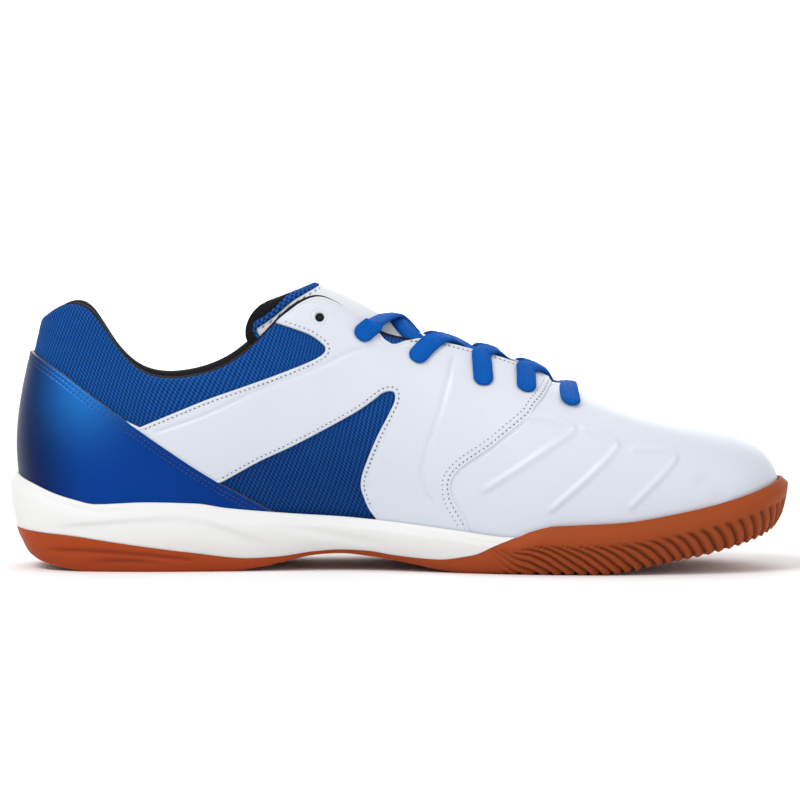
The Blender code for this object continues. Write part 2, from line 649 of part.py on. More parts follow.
def build():
    for item in list(bpy.data.objects):
        bpy.data.objects.remove(item)
    parts = new_collection("indoor_soccer_shoe")
    cutters = new_collection("cutters")
    sole, foam = make_sole(parts, cutters)
    upper, skin = make_upper(parts, cutters)
    overlays = make_overlays(skin, parts, cutters)
    tongue = make_tongue(parts)
    insole = make_insole(parts)
    laces = make_laces(surface_samples(), parts, cutters)
    finish(sole, "gum rubber", 180, 92, 56, 0.55)
    finish(foam, "white foam", 240, 240, 238, 0.6)
    finish(upper, "blue mesh", 15, 68, 133, 0.8)
    finish(overlays["heel_counter"], "metallic blue synthetic", 16, 80, 160, 0.35, 0.3)
    for name in ("quarter_inner", "quarter_outer", "vamp"):
        finish(overlays[name], name + " white synthetic", 236, 240, 246, 0.4)
    finish(tongue, "tongue synthetic", 233, 236, 239, 0.5)
    finish(insole, "insole cloth", 30, 30, 34, 0.9)
    for lace in laces:
        finish(lace, lace.name + " woven blue", 14, 92, 176, 0.75)
    shift_to_origin((parts, cutters))
    hide(cutters)


build()
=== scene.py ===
import math
import bmesh
import bpy
import numpy as np
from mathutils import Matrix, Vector


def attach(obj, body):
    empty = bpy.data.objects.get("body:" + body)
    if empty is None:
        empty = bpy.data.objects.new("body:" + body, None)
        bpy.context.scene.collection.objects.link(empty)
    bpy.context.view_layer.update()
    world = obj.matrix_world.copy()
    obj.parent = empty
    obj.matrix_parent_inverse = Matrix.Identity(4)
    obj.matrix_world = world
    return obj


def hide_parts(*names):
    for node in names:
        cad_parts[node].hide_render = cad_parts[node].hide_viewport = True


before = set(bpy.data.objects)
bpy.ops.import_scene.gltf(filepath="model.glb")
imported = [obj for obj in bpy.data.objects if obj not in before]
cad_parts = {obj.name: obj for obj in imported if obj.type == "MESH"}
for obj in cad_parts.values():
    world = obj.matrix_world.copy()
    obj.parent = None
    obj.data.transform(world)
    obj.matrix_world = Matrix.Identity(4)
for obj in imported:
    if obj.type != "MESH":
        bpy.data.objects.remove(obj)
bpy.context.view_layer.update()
print("frame: loaded with", len(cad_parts), "solids")

# The shoe's own sizes, as in its solids
shoe = {
    "length": 0.294, "ballWidth": 0.100, "heelWidth": 0.067,
    "instepHeight": 0.105, "heelHeight": 0.102, "soleDepth": 0.025,
    "wall": 0.0024, "collarPad": 0.0085, "overlay": 0.0009, "gap": 0.0003,
    "rimThickness": 0.0012, "rimOutset": 0.0019,
    "treadDepth": 0.0012, "treadWidth": 0.0022,
    "tongueThickness": 0.0045, "insoleThickness": 0.0035,
    "laceWidth": 0.0075, "laceThickness": 0.0023,
    "outerBack": 0.0030,  # the collar's dip lies nearer the heel on the outer side by this
}
trayInset = shoe["rimOutset"] + shoe["rimThickness"]
shellInset = trayInset + shoe["overlay"] + 2 * shoe["gap"]
upward = np.array([0.0, 0.0, 1.0])
sameSpot = 0.000002
# The padded edge: how far below the top its roll starts and how high it rises, as shares of its thickness,
# and where on the rib the padding starts and where it is full
collar = {"below": 0.28, "above": 0.22, "padFrom": 0.40, "padFull": 0.85}

# One row for each section from heel to toe: where its foot and top are, as shares of the length, of the
# width there and of the ball width and collar height, then the handles of its rib and the share of padding
sectionColumns = (
    "footX", "inner", "outer", "topX", "topY", "topZ", "bulge", "lift", "reach", "drop", "pad",
)
sections = (
    (0.000, 0.000, 0.000, 0.041, 0.000, 0.922, 0.030, 0.215, 0.050, 0.220, 0.85),
    (0.030, 0.320, 0.325, 0.053, 0.130, 0.948, 0.030, 0.210, 0.050, 0.220, 0.90),
    (0.100, 0.465, 0.475, 0.104, 0.215, 0.950, 0.030, 0.190, 0.050, 0.235, 1.00),
    (0.145, 0.485, 0.500, 0.138, 0.255, 0.830, 0.030, 0.175, 0.045, 0.195, 1.00),
    (0.190, 0.488, 0.510, 0.177, 0.275, 0.722, 0.030, 0.165, 0.040, 0.165, 1.00),
    (0.245, 0.465, 0.510, 0.238, 0.288, 0.698, 0.035, 0.155, 0.035, 0.155, 1.00),
    (0.300, 0.415, 0.500, 0.299, 0.275, 0.766, 0.040, 0.170, 0.045, 0.170, 0.85),
    (0.360, 0.355, 0.475, 0.354, 0.240, 0.922, 0.050, 0.210, 0.070, 0.210, 0.55),
    (0.400, 0.322, 0.458, 0.381, 0.222, 0.972, 0.060, 0.235, 0.100, 0.225, 0.35),
    (0.440, 0.308, 0.450, 0.408, 0.205, 0.975, 0.055, 0.250, 0.125, 0.225, 0.29),
    (0.475, 0.310, 0.452, 0.442, 0.195, 0.920, 0.050, 0.250, 0.150, 0.205, 0.28),
    (0.510, 0.328, 0.465, 0.474, 0.185, 0.860, 0.045, 0.245, 0.175, 0.170, 0.28),
    (0.545, 0.350, 0.482, 0.503, 0.170, 0.834, 0.040, 0.235, 0.180, 0.145, 0.28),
    (0.590, 0.388, 0.502, 0.544, 0.150, 0.817, 0.030, 0.225, 0.200, 0.120, 0.28),
    (0.635, 0.425, 0.510, 0.585, 0.133, 0.789, 0.025, 0.215, 0.220, 0.110, 0.28),
    (0.680, 0.455, 0.508, 0.622, 0.122, 0.760, 0.020, 0.210, 0.235, 0.105, 0.28),
    (0.730, 0.470, 0.495, 0.657, 0.112, 0.725, 0.015, 0.205, 0.260, 0.105, 0.28),
    (0.815, 0.462, 0.446, 0.694, 0.098, 0.676, 0.005, 0.195, 0.310, 0.108, 0.28),
    (0.900, 0.400, 0.352, 0.718, 0.074, 0.636, -0.010, 0.185, 0.370, 0.100, 0.28),
    (0.962, 0.298, 0.236, 0.730, 0.040, 0.604, -0.025, 0.180, 0.420, 0.098, 0.28),
    (1.000, 0.030, -0.030, 0.735, 0.000, 0.594, -0.034, 0.177, 0.440, 0.098, 0.28),
)

# The sole in side view: place along the length, and height as a share of the sole's depth
groundLine = (
    (0.000, 0.62), (0.008, 0.53), (0.015, 0.40), (0.028, 0.23), (0.047, 0.12), (0.078, 0.04),
    (0.108, 0.00), (0.277, 0.00), (0.323, 0.06), (0.361, 0.16), (0.395, 0.24), (0.425, 0.26),
    (0.468, 0.21), (0.510, 0.13), (0.551, 0.04), (0.588, 0.00), (0.758, 0.00), (0.823, 0.13),
    (0.859, 0.21), (0.886, 0.27), (0.918, 0.36), (0.945, 0.45), (0.968, 0.55), (0.990, 0.72),
    (1.000, 0.95),
)
edgeLine = (
    (0.000, 1.47), (0.012, 1.38), (0.033, 1.28), (0.061, 1.15), (0.088, 1.06), (0.114, 1.00),
    (0.179, 1.03), (0.242, 1.01), (0.281, 0.94), (0.367, 0.85), (0.432, 0.80), (0.518, 0.70),
    (0.576, 0.62), (0.643, 0.54), (0.666, 0.64), (0.690, 0.71), (0.721, 0.73), (0.782, 0.77),
    (0.844, 0.88), (0.905, 1.03), (0.951, 1.18), (0.981, 1.30), (1.000, 1.38),
)
seamLine = (
    (-0.050, 0.63), (0.000, 0.62), (0.042, 0.58), (0.088, 0.53), (0.131, 0.46), (0.179, 0.38),
    (0.238, 0.29), (0.310, 0.20), (0.346, 0.22), (0.390, 0.29), (0.424, 0.32), (0.455, 0.31),
    (0.498, 0.24), (0.550, 0.20), (0.585, 0.26), (0.598, 0.30), (0.619, 0.42), (0.643, 0.54),
    (0.667, 0.72), (0.690, 1.00), (1.000, 2.00),
)
floorLine = (
    (0.000, 0.74), (0.070, 0.68), (0.204, 0.66), (0.340, 0.54), (0.476, 0.43), (0.595, 0.30),
    (0.680, 0.24), (0.760, 0.21), (0.820, 0.28), (0.884, 0.44), (0.952, 0.68), (1.000, 0.86),
)
soleSide = ((0.00, 0.0045), (0.16, 0.0019), (0.46, 0.0004), (0.74, 0.0000), (1.00, 0.0019))


def smoothStep(low, high, value):  # 0 below low, 1 above high, an easy S between
    share = np.clip((value - low) / (high - low), 0.0, 1.0)
    return share * share * (3.0 - 2.0 * share)


def bell(value, width):  # 1 at zero, falling off on both sides as a normal curve
    return np.exp(-(value / width) ** 2)


def unit(vectors):  # vectors divided by their own lengths
    return vectors / np.linalg.norm(vectors, axis=-1, keepdims=True)


def runAlong(points):  # how far along a path each of its points is
    return np.concatenate(([0.0], np.cumsum(np.linalg.norm(np.diff(points, axis=0), axis=1))))


def scaled(table):  # side-view shares of the length and of the instep height, in metres
    return np.array(table) * [shoe["length"], shoe["instepHeight"]]


def steadyCurve(places, heights, x):
    # cubic pieces through the points, with slopes from the harmonic mean, so that it never overshoots
    steps = np.diff(places)
    slopes = np.diff(heights) / steps
    tangents = np.zeros(len(places))
    sameWay = slopes[:-1] * slopes[1:] > 0
    before, after = np.where(sameWay, slopes[:-1], 1.0), np.where(sameWay, slopes[1:], 1.0)
    tangents[1:-1] = np.where(sameWay, 2.0 / (1.0 / before + 1.0 / after), 0.0)
    tangents[0], tangents[-1] = slopes[0], slopes[-1]
    index = np.clip(np.searchsorted(places, x) - 1, 0, len(steps) - 1)
    t = np.clip((x - places[index]) / steps[index], 0.0, 1.0)
    rise = (3.0 * t**2 - 2.0 * t**3) * (heights[index + 1] - heights[index])
    lean = (t**3 - 2.0 * t**2 + t) * tangents[index] + (t**3 - t**2) * tangents[index + 1]
    return heights[index] + rise + lean * steps[index]


def sideHeight(table, x):  # height of one of the sole's side-view lines at x
    places, heights = np.array(table).T * [[shoe["length"]], [shoe["soleDepth"]]]
    return steadyCurve(places, heights, x)


def closedSpline(knots, values, where, slope=False):
    # cubic spline through the values that closes on itself, or its slope
    steps = np.diff(knots)
    count = len(steps)
    rises = (np.roll(values, -1, axis=0) - values) / steps[:, None]
    matrix = np.diag(2.0 * (np.roll(steps, 1) + steps))
    for i in range(count):
        matrix[i, i - 1] = steps[i - 1]
        matrix[i, (i + 1) % count] = steps[i]
    bends = np.linalg.solve(matrix, 6.0 * (rises - np.roll(rises, 1, axis=0)))
    index = np.clip(np.searchsorted(knots, where, side="right") - 1, 0, count - 1)
    after = (index + 1) % count
    step = steps[index][:, None]
    b = (where - knots[index])[:, None] / step
    a = 1.0 - b
    if slope:
        bend = (3 * b**2 - 1) * bends[after] - (3 * a**2 - 1) * bends[index]
        return rises[index] + step / 6.0 * bend
    bend = (a**3 - a) * bends[index] + (b**3 - b) * bends[after]
    return a * values[index] + b * values[after] + bend * step**2 / 6.0


def smoothPath(points, count):  # a curve through points, evenly read: each piece bends by its neighbours
    points = np.array(points, float)
    padded = np.vstack((2 * points[0] - points[1], points, 2 * points[-1] - points[-2]))
    where = np.linspace(0.0, len(points) - 1.0, count)
    index = np.minimum(where.astype(int), len(points) - 2)
    t = (where - index)[:, None]
    a, b, c, d = (padded[index + i] for i in range(4))
    bend, twist = 2 * a - 5 * b + 4 * c - d, 3 * b - a - 3 * c + d
    return 0.5 * (2 * b + (c - a) * t + bend * t**2 + twist * t**3)


def sectionRing():
    # the sections in metres, along the inner side from heel to toe and back along the outer: each share times
    # its size, which goes from the heel's to the ball's or instep's in an easy S
    get = dict(zip(sectionColumns, np.array(sections).T))
    length, ball, heel = shoe["length"], shoe["ballWidth"], shoe["heelWidth"]
    width = heel + (ball - heel) * smoothStep(0.2, 0.6, get["footX"])
    topX = get["topX"]
    height = shoe["heelHeight"] + (shoe["instepHeight"] - shoe["heelHeight"]) * smoothStep(0.15, 0.30, topX)
    back = shoe["outerBack"] * smoothStep(0.05, 0.13, topX) * (1.0 - smoothStep(0.30, 0.41, topX))
    sides = [
        np.column_stack((
            get["footX"] * length, side * half * width,
            topX * length - back * (side > 0), side * get["topY"] * ball, get["topZ"] * height,
            get["bulge"] * ball, get["lift"] * height, get["reach"] * ball, get["drop"] * height,
            get["pad"] * shoe["collarPad"],
        ))
        for side, half in ((-1.0, get["inner"]), (1.0, get["outer"]))
    ]
    return np.vstack((sides[0], sides[1][-2:0:-1]))


ring = sectionRing()
ringSteps = np.linalg.norm(np.roll(ring, -1, axis=0)[:, :2] - ring[:, :2], axis=1)
ringKnots = np.concatenate(([0.0], np.cumsum(ringSteps)))
toeRow = len(sections) - 1
toePlace, ringEnd = ringKnots[toeRow], ringKnots[-1]


def pairedPlaces(rows):  # places round the ring for section numbers, and the same numbers back to the heel
    there = np.interp(rows, np.arange(toeRow + 1), ringKnots[: toeRow + 1])
    back = np.interp(rows, np.arange(toeRow + 1), ringKnots[: toeRow - 1 : -1])
    return np.concatenate((there, back[-2:0:-1]))


def rowsAt(lengths):  # section numbers at lengths along the inner side
    return np.interp(lengths, ringKnots[: toeRow + 1], np.arange(toeRow + 1))


def planAt(places):  # outline points and outward directions, top points, and the rib's values
    places = np.mod(places, ringEnd)
    values = closedSpline(ringKnots, ring, places)
    slopes = closedSpline(ringKnots, ring, places, slope=True)
    flat = np.zeros(len(places))
    foot = np.column_stack((values[:, :2], flat))
    outward = unit(np.column_stack((slopes[:, 1], -slopes[:, 0], flat)))
    topOutward = unit(np.column_stack((slopes[:, 3], -slopes[:, 2], flat)))
    return foot, outward, values[:, 2:5], topOutward, values[:, 5:]


footLoop = planAt(pairedPlaces(np.linspace(0.0, toeRow, 401)))[0]
middle = 0.5 * (footLoop.min(axis=0) + footLoop.max(axis=0))  # everything moves by this at the end


def ribAt(places, t):
    # cubic rib from the seat in the sole to the top edge: its point, its slope, and the height of its seat
    foot, outward, top, topOutward, shape = planAt(places)
    bulge, lift, reach, drop = (shape[:, [i]] for i in range(4))
    seat = foot - outward * shellInset
    seat[:, 2] = sideHeight(edgeLine, seat[:, 0])
    low = seat + outward * bulge + upward * lift
    high = top + topOutward * reach - upward * drop
    t = t[:, None]
    s = 1.0 - t
    point = s**3 * seat + 3 * s * s * t * low + 3 * s * t * t * high + t**3 * top
    slope = 3 * s * s * (low - seat) + 6 * s * t * (high - low) + 3 * t * t * (top - high)
    return point, slope, seat, np.linalg.norm(3 * (top - high), axis=1), shape[:, 4]


def shell(places, w, lift=0.0):
    # the upper as one closed section: w below 0 is in the sole, 0 to 1 climbs the rib, 1 to 2 rolls over
    # the padded edge on half an ellipse, 2 to 3 goes down the inside; returns points and outward directions
    places, w = np.broadcast_arrays(np.asarray(places, float), np.asarray(w, float))
    grid = places.shape
    places, w = places.ravel(), w.ravel()
    _, _, _, speed, pad = ribAt(places, 0.0 * places)
    thick = np.maximum(pad, shoe["wall"])
    end = 1.0 - collar["below"] * thick / speed
    t = np.clip(np.where(w <= 1.0, w, 3.0 - w), 0.0, 1.0) * end
    point, slope, seat, _, _ = ribAt(places, t)
    step = 0.0004
    along = ribAt(places + step, t)[0] - ribAt(places - step, t)[0]
    normal, climb = unit(np.cross(along, slope)), unit(slope)
    depth = shoe["wall"] + (thick - shoe["wall"]) * smoothStep(collar["padFrom"], collar["padFull"], t)
    half = 0.5 * depth[:, None]
    turn = (np.pi * np.clip(w - 1.0, 0.0, 1.0))[:, None]
    height = (collar["above"] * thick + (1.0 - end) * speed)[:, None]
    spot = point - normal * half + normal * half * np.cos(turn) + climb * height * np.sin(turn)
    facing = unit(normal * np.cos(turn) * height + climb * np.sin(turn) * half)
    floor = sideHeight(floorLine, seat[:, 0]) + shoe["gap"]
    spot[:, 2] -= (np.clip(-w, 0.0, 1.0) + np.clip(w - 3.0, 0.0, 1.0)) * (seat[:, 2] - floor)
    spot = spot + facing * np.reshape(lift, (-1, 1))
    return spot.reshape(*grid, 3), facing.reshape(*grid, 3)


def spotAt(place, w):  # one point of the shell, and its outward direction
    return [value[0] for value in shell(np.array([place]), np.array([w]))]


# Side-view lines: shares of the length and of the instep height
counterLine = (
    (-0.040, 0.930), (0.028, 0.785), (0.074, 0.703), (0.129, 0.590), (0.211, 0.430), (0.271, 0.322),
    (0.345, 0.205), (0.390, 0.130),
)
bandTop = (
    (0.172, 0.517), (0.215, 0.567), (0.258, 0.616), (0.301, 0.658), (0.344, 0.701), (0.384, 0.745),
    (0.402, 0.772), (0.406, 0.793), (0.401, 0.812), (0.388, 0.838), (0.372, 0.856), (0.356, 0.871),
    (0.334, 0.890), (0.318, 0.905),
)
bandFoot = (
    (0.507, 0.060), (0.480, 0.110), (0.471, 0.180), (0.461, 0.222), (0.455, 0.262), (0.451, 0.298),
    (0.452, 0.338), (0.458, 0.390), (0.472, 0.484), (0.486, 0.560), (0.494, 0.612), (0.492, 0.640),
    (0.480, 0.636), (0.467, 0.609), (0.445, 0.567), (0.403, 0.502), (0.363, 0.444), (0.321, 0.390),
    (0.277, 0.322),
)
toeSeam = (
    (0.716, 1.050), (0.716, 0.700), (0.696, 0.665), (0.684, 0.618), (0.673, 0.585), (0.665, 0.553),
    (0.643, 0.502), (0.615, 0.440), (0.593, 0.400), (0.579, 0.371), (0.570, 0.342), (0.567, 0.313),
    (0.569, 0.271), (0.577, 0.226), (0.586, 0.185), (0.600, 0.060),
)
notchLine = (
    (0.462, 0.950), (0.473, 0.848), (0.481, 0.822), (0.490, 0.806), (0.496, 0.806), (0.506, 0.815),
    (0.522, 0.822), (0.542, 0.829), (0.548, 0.950),
)
eyelets = ((0.399, 0.902), (0.453, 0.840), (0.524, 0.760), (0.606, 0.680), (0.660, 0.651), (0.716, 0.600))


def sideLine(table, count=160):  # a smooth line through a side-view table, in metres
    return smoothPath(scaled(table), count)


def nearLine(x, z, line):
    # for side-view points: distance to a line, length along it there, and the side it is on. Each point is
    # dropped square on to every piece of the line, 8000 points at a time to save memory
    start, step = line[:-1], np.diff(line, axis=0)
    size = np.maximum((step**2).sum(axis=1), 1e-16)
    reached = np.concatenate(([0.0], np.cumsum(np.sqrt(size))))
    near, along, side = np.empty(len(x)), np.empty(len(x)), np.empty(len(x))
    for first in range(0, len(x), 8000):
        part = slice(first, first + 8000)
        dx, dz = x[part, None] - start[:, 0], z[part, None] - start[:, 1]
        share = np.clip((dx * step[:, 0] + dz * step[:, 1]) / size, 0.0, 1.0)
        miss = np.hypot(dx - share * step[:, 0], dz - share * step[:, 1])
        best = miss.argmin(axis=1)
        rows = np.arange(len(best))
        near[part] = miss[rows, best]
        along[part] = reached[best] + share[rows, best] * np.sqrt(size[best])
        side[part] = np.sign(step[best, 0] * dz[rows, best] - step[best, 1] * dx[rows, best])
    return near, along, side


def insideOutline(x, z, corners):  # even-odd rule: how many sides of the outline a level ray crosses
    inside = np.zeros(len(x), bool)
    for (ax, az), (bx, bz) in zip(corners, np.roll(corners, -1, axis=0)):
        if az != bz:
            inside ^= ((az > z) != (bz > z)) & (x < ax + (z - az) / (bz - az) * (bx - ax))
    return inside


def depthIn(x, z, outline):  # distance to a closed outline, below zero outside it
    near, _, _ = nearLine(x, z, np.vstack((outline, outline[:1])))
    return np.where(insideOutline(x, z, outline), near, -near)


def addMesh(name, points, faces, marks=None, uv=None):
    # an object from arrays: corners, groups of faces, named values for each corner, a map for each face corner
    mesh = bpy.data.meshes.new(name)
    mesh.vertices.add(len(points))
    mesh.vertices.foreach_set("co", np.asarray(points - middle, np.float32).ravel())
    corners = np.concatenate([group.ravel() for group in faces])
    sizes = np.concatenate([np.full(len(group), group.shape[1]) for group in faces])
    mesh.loops.add(len(corners))
    mesh.loops.foreach_set("vertex_index", corners.astype(np.int32))
    mesh.polygons.add(len(sizes))
    mesh.polygons.foreach_set("loop_start", (np.cumsum(sizes) - sizes).astype(np.int32))
    mesh.update(calc_edges=True)
    mesh.polygons.foreach_set("use_smooth", np.ones(len(sizes), bool))
    for key, values in (marks or {}).items():
        mark = mesh.attributes.new(key, "FLOAT", "POINT")
        mark.data.foreach_set("value", np.asarray(values, np.float32).ravel())
    if uv is not None:
        mesh.uv_layers.new(name="UVMap").data.foreach_set("uv", np.asarray(uv, np.float32).ravel())
    made = bpy.data.objects.new(name, mesh)
    bpy.context.scene.collection.objects.link(made)
    return made


def gridFaces(rows, columns, wrapRows=False, wrapColumns=False):  # four corners of each cell of a grid
    index = np.arange(rows * columns).reshape(rows, columns)
    if wrapRows:
        index = np.vstack((index, index[:1]))
    if wrapColumns:
        index = np.hstack((index, index[:, :1]))
    return np.stack((index[:-1, :-1], index[:-1, 1:], index[1:, 1:], index[1:, :-1]), axis=-1).reshape(-1, 4)


def gridMap(u, v):  # map values of each cell's four corners, from grids one larger where the mesh closes
    both = np.stack(np.broadcast_arrays(u, v), axis=-1)
    return np.stack((both[:-1, :-1], both[:-1, 1:], both[1:, 1:], both[1:, :-1]), axis=-2).reshape(-1, 2)


def capFaces(first, count):  # closes a loop that starts at the heel with strips between facing places
    i = np.arange(1, (count - 1) // 2)
    strips = np.column_stack((i, i + 1, count - i - 1, count - i)) + first
    ends = [(first, first + 1, first + count - 1)]
    if count % 2 == 0:
        ends.append((first + count // 2 - 1, first + count // 2, first + count // 2 + 1))
    return [strips, np.array(ends)]


def fan(first, count, tip):  # triangles from a loop of corners to one tip
    i = np.arange(count)
    return np.column_stack((first + i, first + (i + 1) % count, np.full(count, tip)))


def tubeFaces(rows, around, first=0):  # the faces of a tube of loops, with a fan to a tip at each end
    total = rows * around
    head, tail = fan(0, around, total)[:, [1, 0, 2]], fan(total - around, around, total + 1)
    return [gridFaces(rows, around, False, True) + first, head + first, tail + first]


def tubeMap(u, v, around):  # map values of a tube's faces, with its end fans at zero
    return np.vstack((gridMap(u, v), np.zeros((6 * around, 2))))


def mendMesh(made, join=None):
    # joins corners within a distance and drops faces without area, or else turns the faces outward
    shape = bmesh.new()
    shape.from_mesh(made.data)
    if join:
        bmesh.ops.remove_doubles(shape, verts=shape.verts[:], dist=join)
        bmesh.ops.dissolve_degenerate(shape, dist=join * 0.1, edges=shape.edges[:])
    else:
        bmesh.ops.recalc_face_normals(shape, faces=shape.faces[:])
    shape.to_mesh(made.data)
    shape.free()


class Number:
    # a shader value: sums on it add Math nodes
    def __init__(self, finish, socket):
        self.finish, self.socket = finish, socket

    def __add__(self, other):
        return self.finish.reckon("ADD", self, other)

    def __sub__(self, other):
        return self.finish.reckon("SUBTRACT", self, other)

    def __rsub__(self, other):
        return self.finish.reckon("SUBTRACT", other, self)

    def __mul__(self, other):
        return self.finish.reckon("MULTIPLY", self, other)

    def __truediv__(self, other):
        return self.finish.reckon("DIVIDE", self, other)

    def __neg__(self):
        return self.finish.reckon("MULTIPLY", self, -1.0)

    __radd__, __rmul__ = __add__, __mul__


class Finish:
    # one material with its Principled shader, and the few helpers that its patterns use
    def __init__(self, name, **constants):
        self.material = bpy.data.materials.new(name)
        self.material.use_nodes = True
        self.tree = self.material.node_tree
        self.tree.nodes.clear()
        fixed = {key.replace("_", " "): value for key, value in constants.items()}
        self.shader = self.add("ShaderNodeBsdfPrincipled", sockets=fixed)
        self.add("ShaderNodeOutputMaterial", sockets={"Surface": self.shader.outputs[0]})

    def add(self, kind, settings=None, sockets=None):
        node = self.tree.nodes.new(kind)
        for key, value in (settings or {}).items():
            setattr(node, key, value)
        for key, value in (sockets or {}).items():
            value = value.socket if isinstance(value, Number) else value
            if isinstance(value, bpy.types.NodeSocket):
                self.tree.links.new(value, node.inputs[key])
            else:
                node.inputs[key].default_value = value
        return node

    def reckon(self, operation, *values):
        node = self.add("ShaderNodeMath", {"operation": operation}, dict(enumerate(values)))
        return Number(self, node.outputs[0])

    def mark(self, name):
        return Number(self, self.add("ShaderNodeAttribute", {"attribute_name": name}).outputs["Fac"])

    def split(self, vector):
        parts = self.add("ShaderNodeSeparateXYZ", sockets={0: vector})
        return [Number(self, out) for out in parts.outputs]

    def place(self):
        return self.add("ShaderNodeTexCoord").outputs["Object"]

    def map(self):
        return self.add("ShaderNodeTexCoord").outputs["UV"]

    def noise(self, scale, detail=2.0):
        node = self.add("ShaderNodeTexNoise", sockets={
            "Vector": self.place(), "Scale": scale, "Detail": detail})
        return Number(self, node.outputs["Fac"])

    def step(self, low, high, value):  # 0 below low, 1 above high, an easy S between
        node = self.add("ShaderNodeMapRange", {"interpolation_type": "SMOOTHSTEP"}, {
            "Value": value, "From Min": low, "From Max": high})
        return Number(self, node.outputs[0])

    def wave(self, value, period):  # cosine that repeats over the period
        return self.reckon("COSINE", value * (2.0 * math.pi / period))

    def bell(self, value, width):  # 1 at zero, falling off as a normal curve
        away = value / width
        return self.reckon("EXPONENT", -(away * away))

    def blend(self, factor, low, high):  # colour low at factor 0, high at 1
        node = self.add("ShaderNodeMix", {"data_type": "RGBA"}, {0: factor, 6: low, 7: high})
        return node.outputs[2]

    def set(self, **links):
        for key, value in links.items():
            value = value.socket if isinstance(value, Number) else value
            self.tree.links.new(value, self.shader.inputs[key.replace("_", " ")])

    def bump(self, millimetres):
        node = self.add("ShaderNodeBump", sockets={"Distance": 0.001, "Strength": 1.0, "Height": millimetres})
        self.set(Normal=node.outputs[0])


def screen(red, green, blue):  # a colour read on screen, as the shader's linear one
    value = np.array([red, green, blue]) / 255.0
    linear = np.where(value <= 0.04045, value / 12.92, ((value + 0.055) / 1.055) ** 2.4)
    return (*linear, 1.0)


def dress(made, finish, slotName, *nodes):  # material, body and the solids that the piece stands for; slotName is not used
    made.data.materials.append(finish.material)
    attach(made, "root")
    if nodes:
        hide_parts(*nodes)


# Floor, light and camera
view = {
    "distance": 1.6, "elevation": 3.0, "span": 0.2951, "target": (0.0003, -0.045, 0.0650),
    "world": 0.62, "wall": 1.6, "bend": 1.2, "reach": 6.0,
}
# Each lamp's name, place, aim, watts and side; the one behind lights only the wall
lamps = (
    ("key", (-0.75, -0.75, 1.25), (0.0, 0.0, 0.05), 13.6, 0.8),
    ("fill", (1.2, -1.1, 0.5), (0.0, 0.0, 0.05), 5.8, 1.4),
    ("top", (0.3, 0.3, 1.5), (0.0, 0.0, 0.05), 1.8, 0.9),
    ("back", (0.0, 1.0, 2.0), (0.0, 3.0, 1.85), 80.0, 1.6),
)


def aimAt(thing, target):  # turns a lamp or camera so that it looks at a point
    thing.rotation_euler = (target - thing.location).to_track_quat("-Z", "Y").to_euler()


def makeStage():
    # a floor that bends up into a wall behind, on a quarter circle
    turn = np.linspace(0.0, 0.5 * np.pi, 24)
    bend, wall, reach = view["bend"], view["wall"], view["reach"]
    depth = np.concatenate(((-reach,), wall + bend * np.sin(turn), (wall + bend,)))
    height = np.concatenate(((0.0,), bend - bend * np.cos(turn), (reach,)))
    side = np.array([-reach, reach])
    corners = np.stack(np.broadcast_arrays(side[None, :], depth[:, None], height[:, None]), axis=-1)
    floor = addMesh("floor", corners.reshape(-1, 3) + middle, [gridFaces(len(depth), 2)])
    pale = Finish("pale floor", Roughness=0.8, Specular_IOR_Level=0.1)
    pale.set(Base_Color=pale.blend(pale.noise(3.0), (0.93, 0.93, 0.93, 1), (0.95, 0.95, 0.95, 1)))
    floor.data.materials.append(pale.material)
    scene = bpy.context.scene
    world = bpy.data.worlds.new("studio")
    world.use_nodes = True
    sky = world.node_tree.nodes["Background"]
    sky.inputs[0].default_value = (1.0, 1.0, 1.0, 1.0)
    sky.inputs[1].default_value = view["world"]
    scene.world = world
    for name, place, aim, energy, size in lamps:
        light = bpy.data.lights.new(name, "AREA")
        light.energy, light.size = energy, size
        lamp = bpy.data.objects.new(name, light)
        scene.collection.objects.link(lamp)
        lamp.location = place
        aimAt(lamp, Vector(aim))
    camera = bpy.data.objects.new("camera", bpy.data.cameras.new("camera"))
    scene.collection.objects.link(camera)
    angle = math.radians(view["elevation"])
    target = Vector(view["target"])
    camera.location = target + view["distance"] * Vector((0, -math.cos(angle), math.sin(angle)))
    aimAt(camera, target)
    camera.data.sensor_width = 36.0
    camera.data.lens = camera.data.sensor_width * view["distance"] / view["span"]
    scene.camera = camera
    scene.view_settings.view_transform = "Standard"


makeStage()
print("stage: floor, lights and camera")

# The blue mesh shell with its padded collar and dark lining
upperPiece = {
    "stations": 480, "rise": 62, "roll": 20, "inside": 26, "weave": 0.00122, "rim": 0.0033,
    "crease": 0.0002, "creaseWidth": 0.05,
}


def liningEdge(places):
    # the w where the dark lining starts, so that its rim shows: on the roll if it is high enough, or just below
    _, _, _, _, pad = ribAt(places, 0.0 * places)
    thick = np.maximum(pad, shoe["wall"])
    rim, rise = upperPiece["rim"] - collar["below"] * thick, 0.5 * thick
    onRoll = np.arcsin(np.clip(1.0 - rim / rise, 0.0, 1.0)) / np.pi
    return 1.0 + onRoll - np.maximum(rim - rise, 0.0) / shoe["instepHeight"]


def meshWeave(finish, uv, pitch):  # staggered dashes: the product of two cosines peaks in every other cell
    u, v, _ = finish.split(uv)
    return finish.wave(u + v * 0.3, 1.4 * pitch) * finish.wave(v, 2.0 * pitch)


def darkCloth(finish, grain):  # the lining's colour
    return finish.blend(grain, screen(14, 12, 16), screen(28, 26, 31))


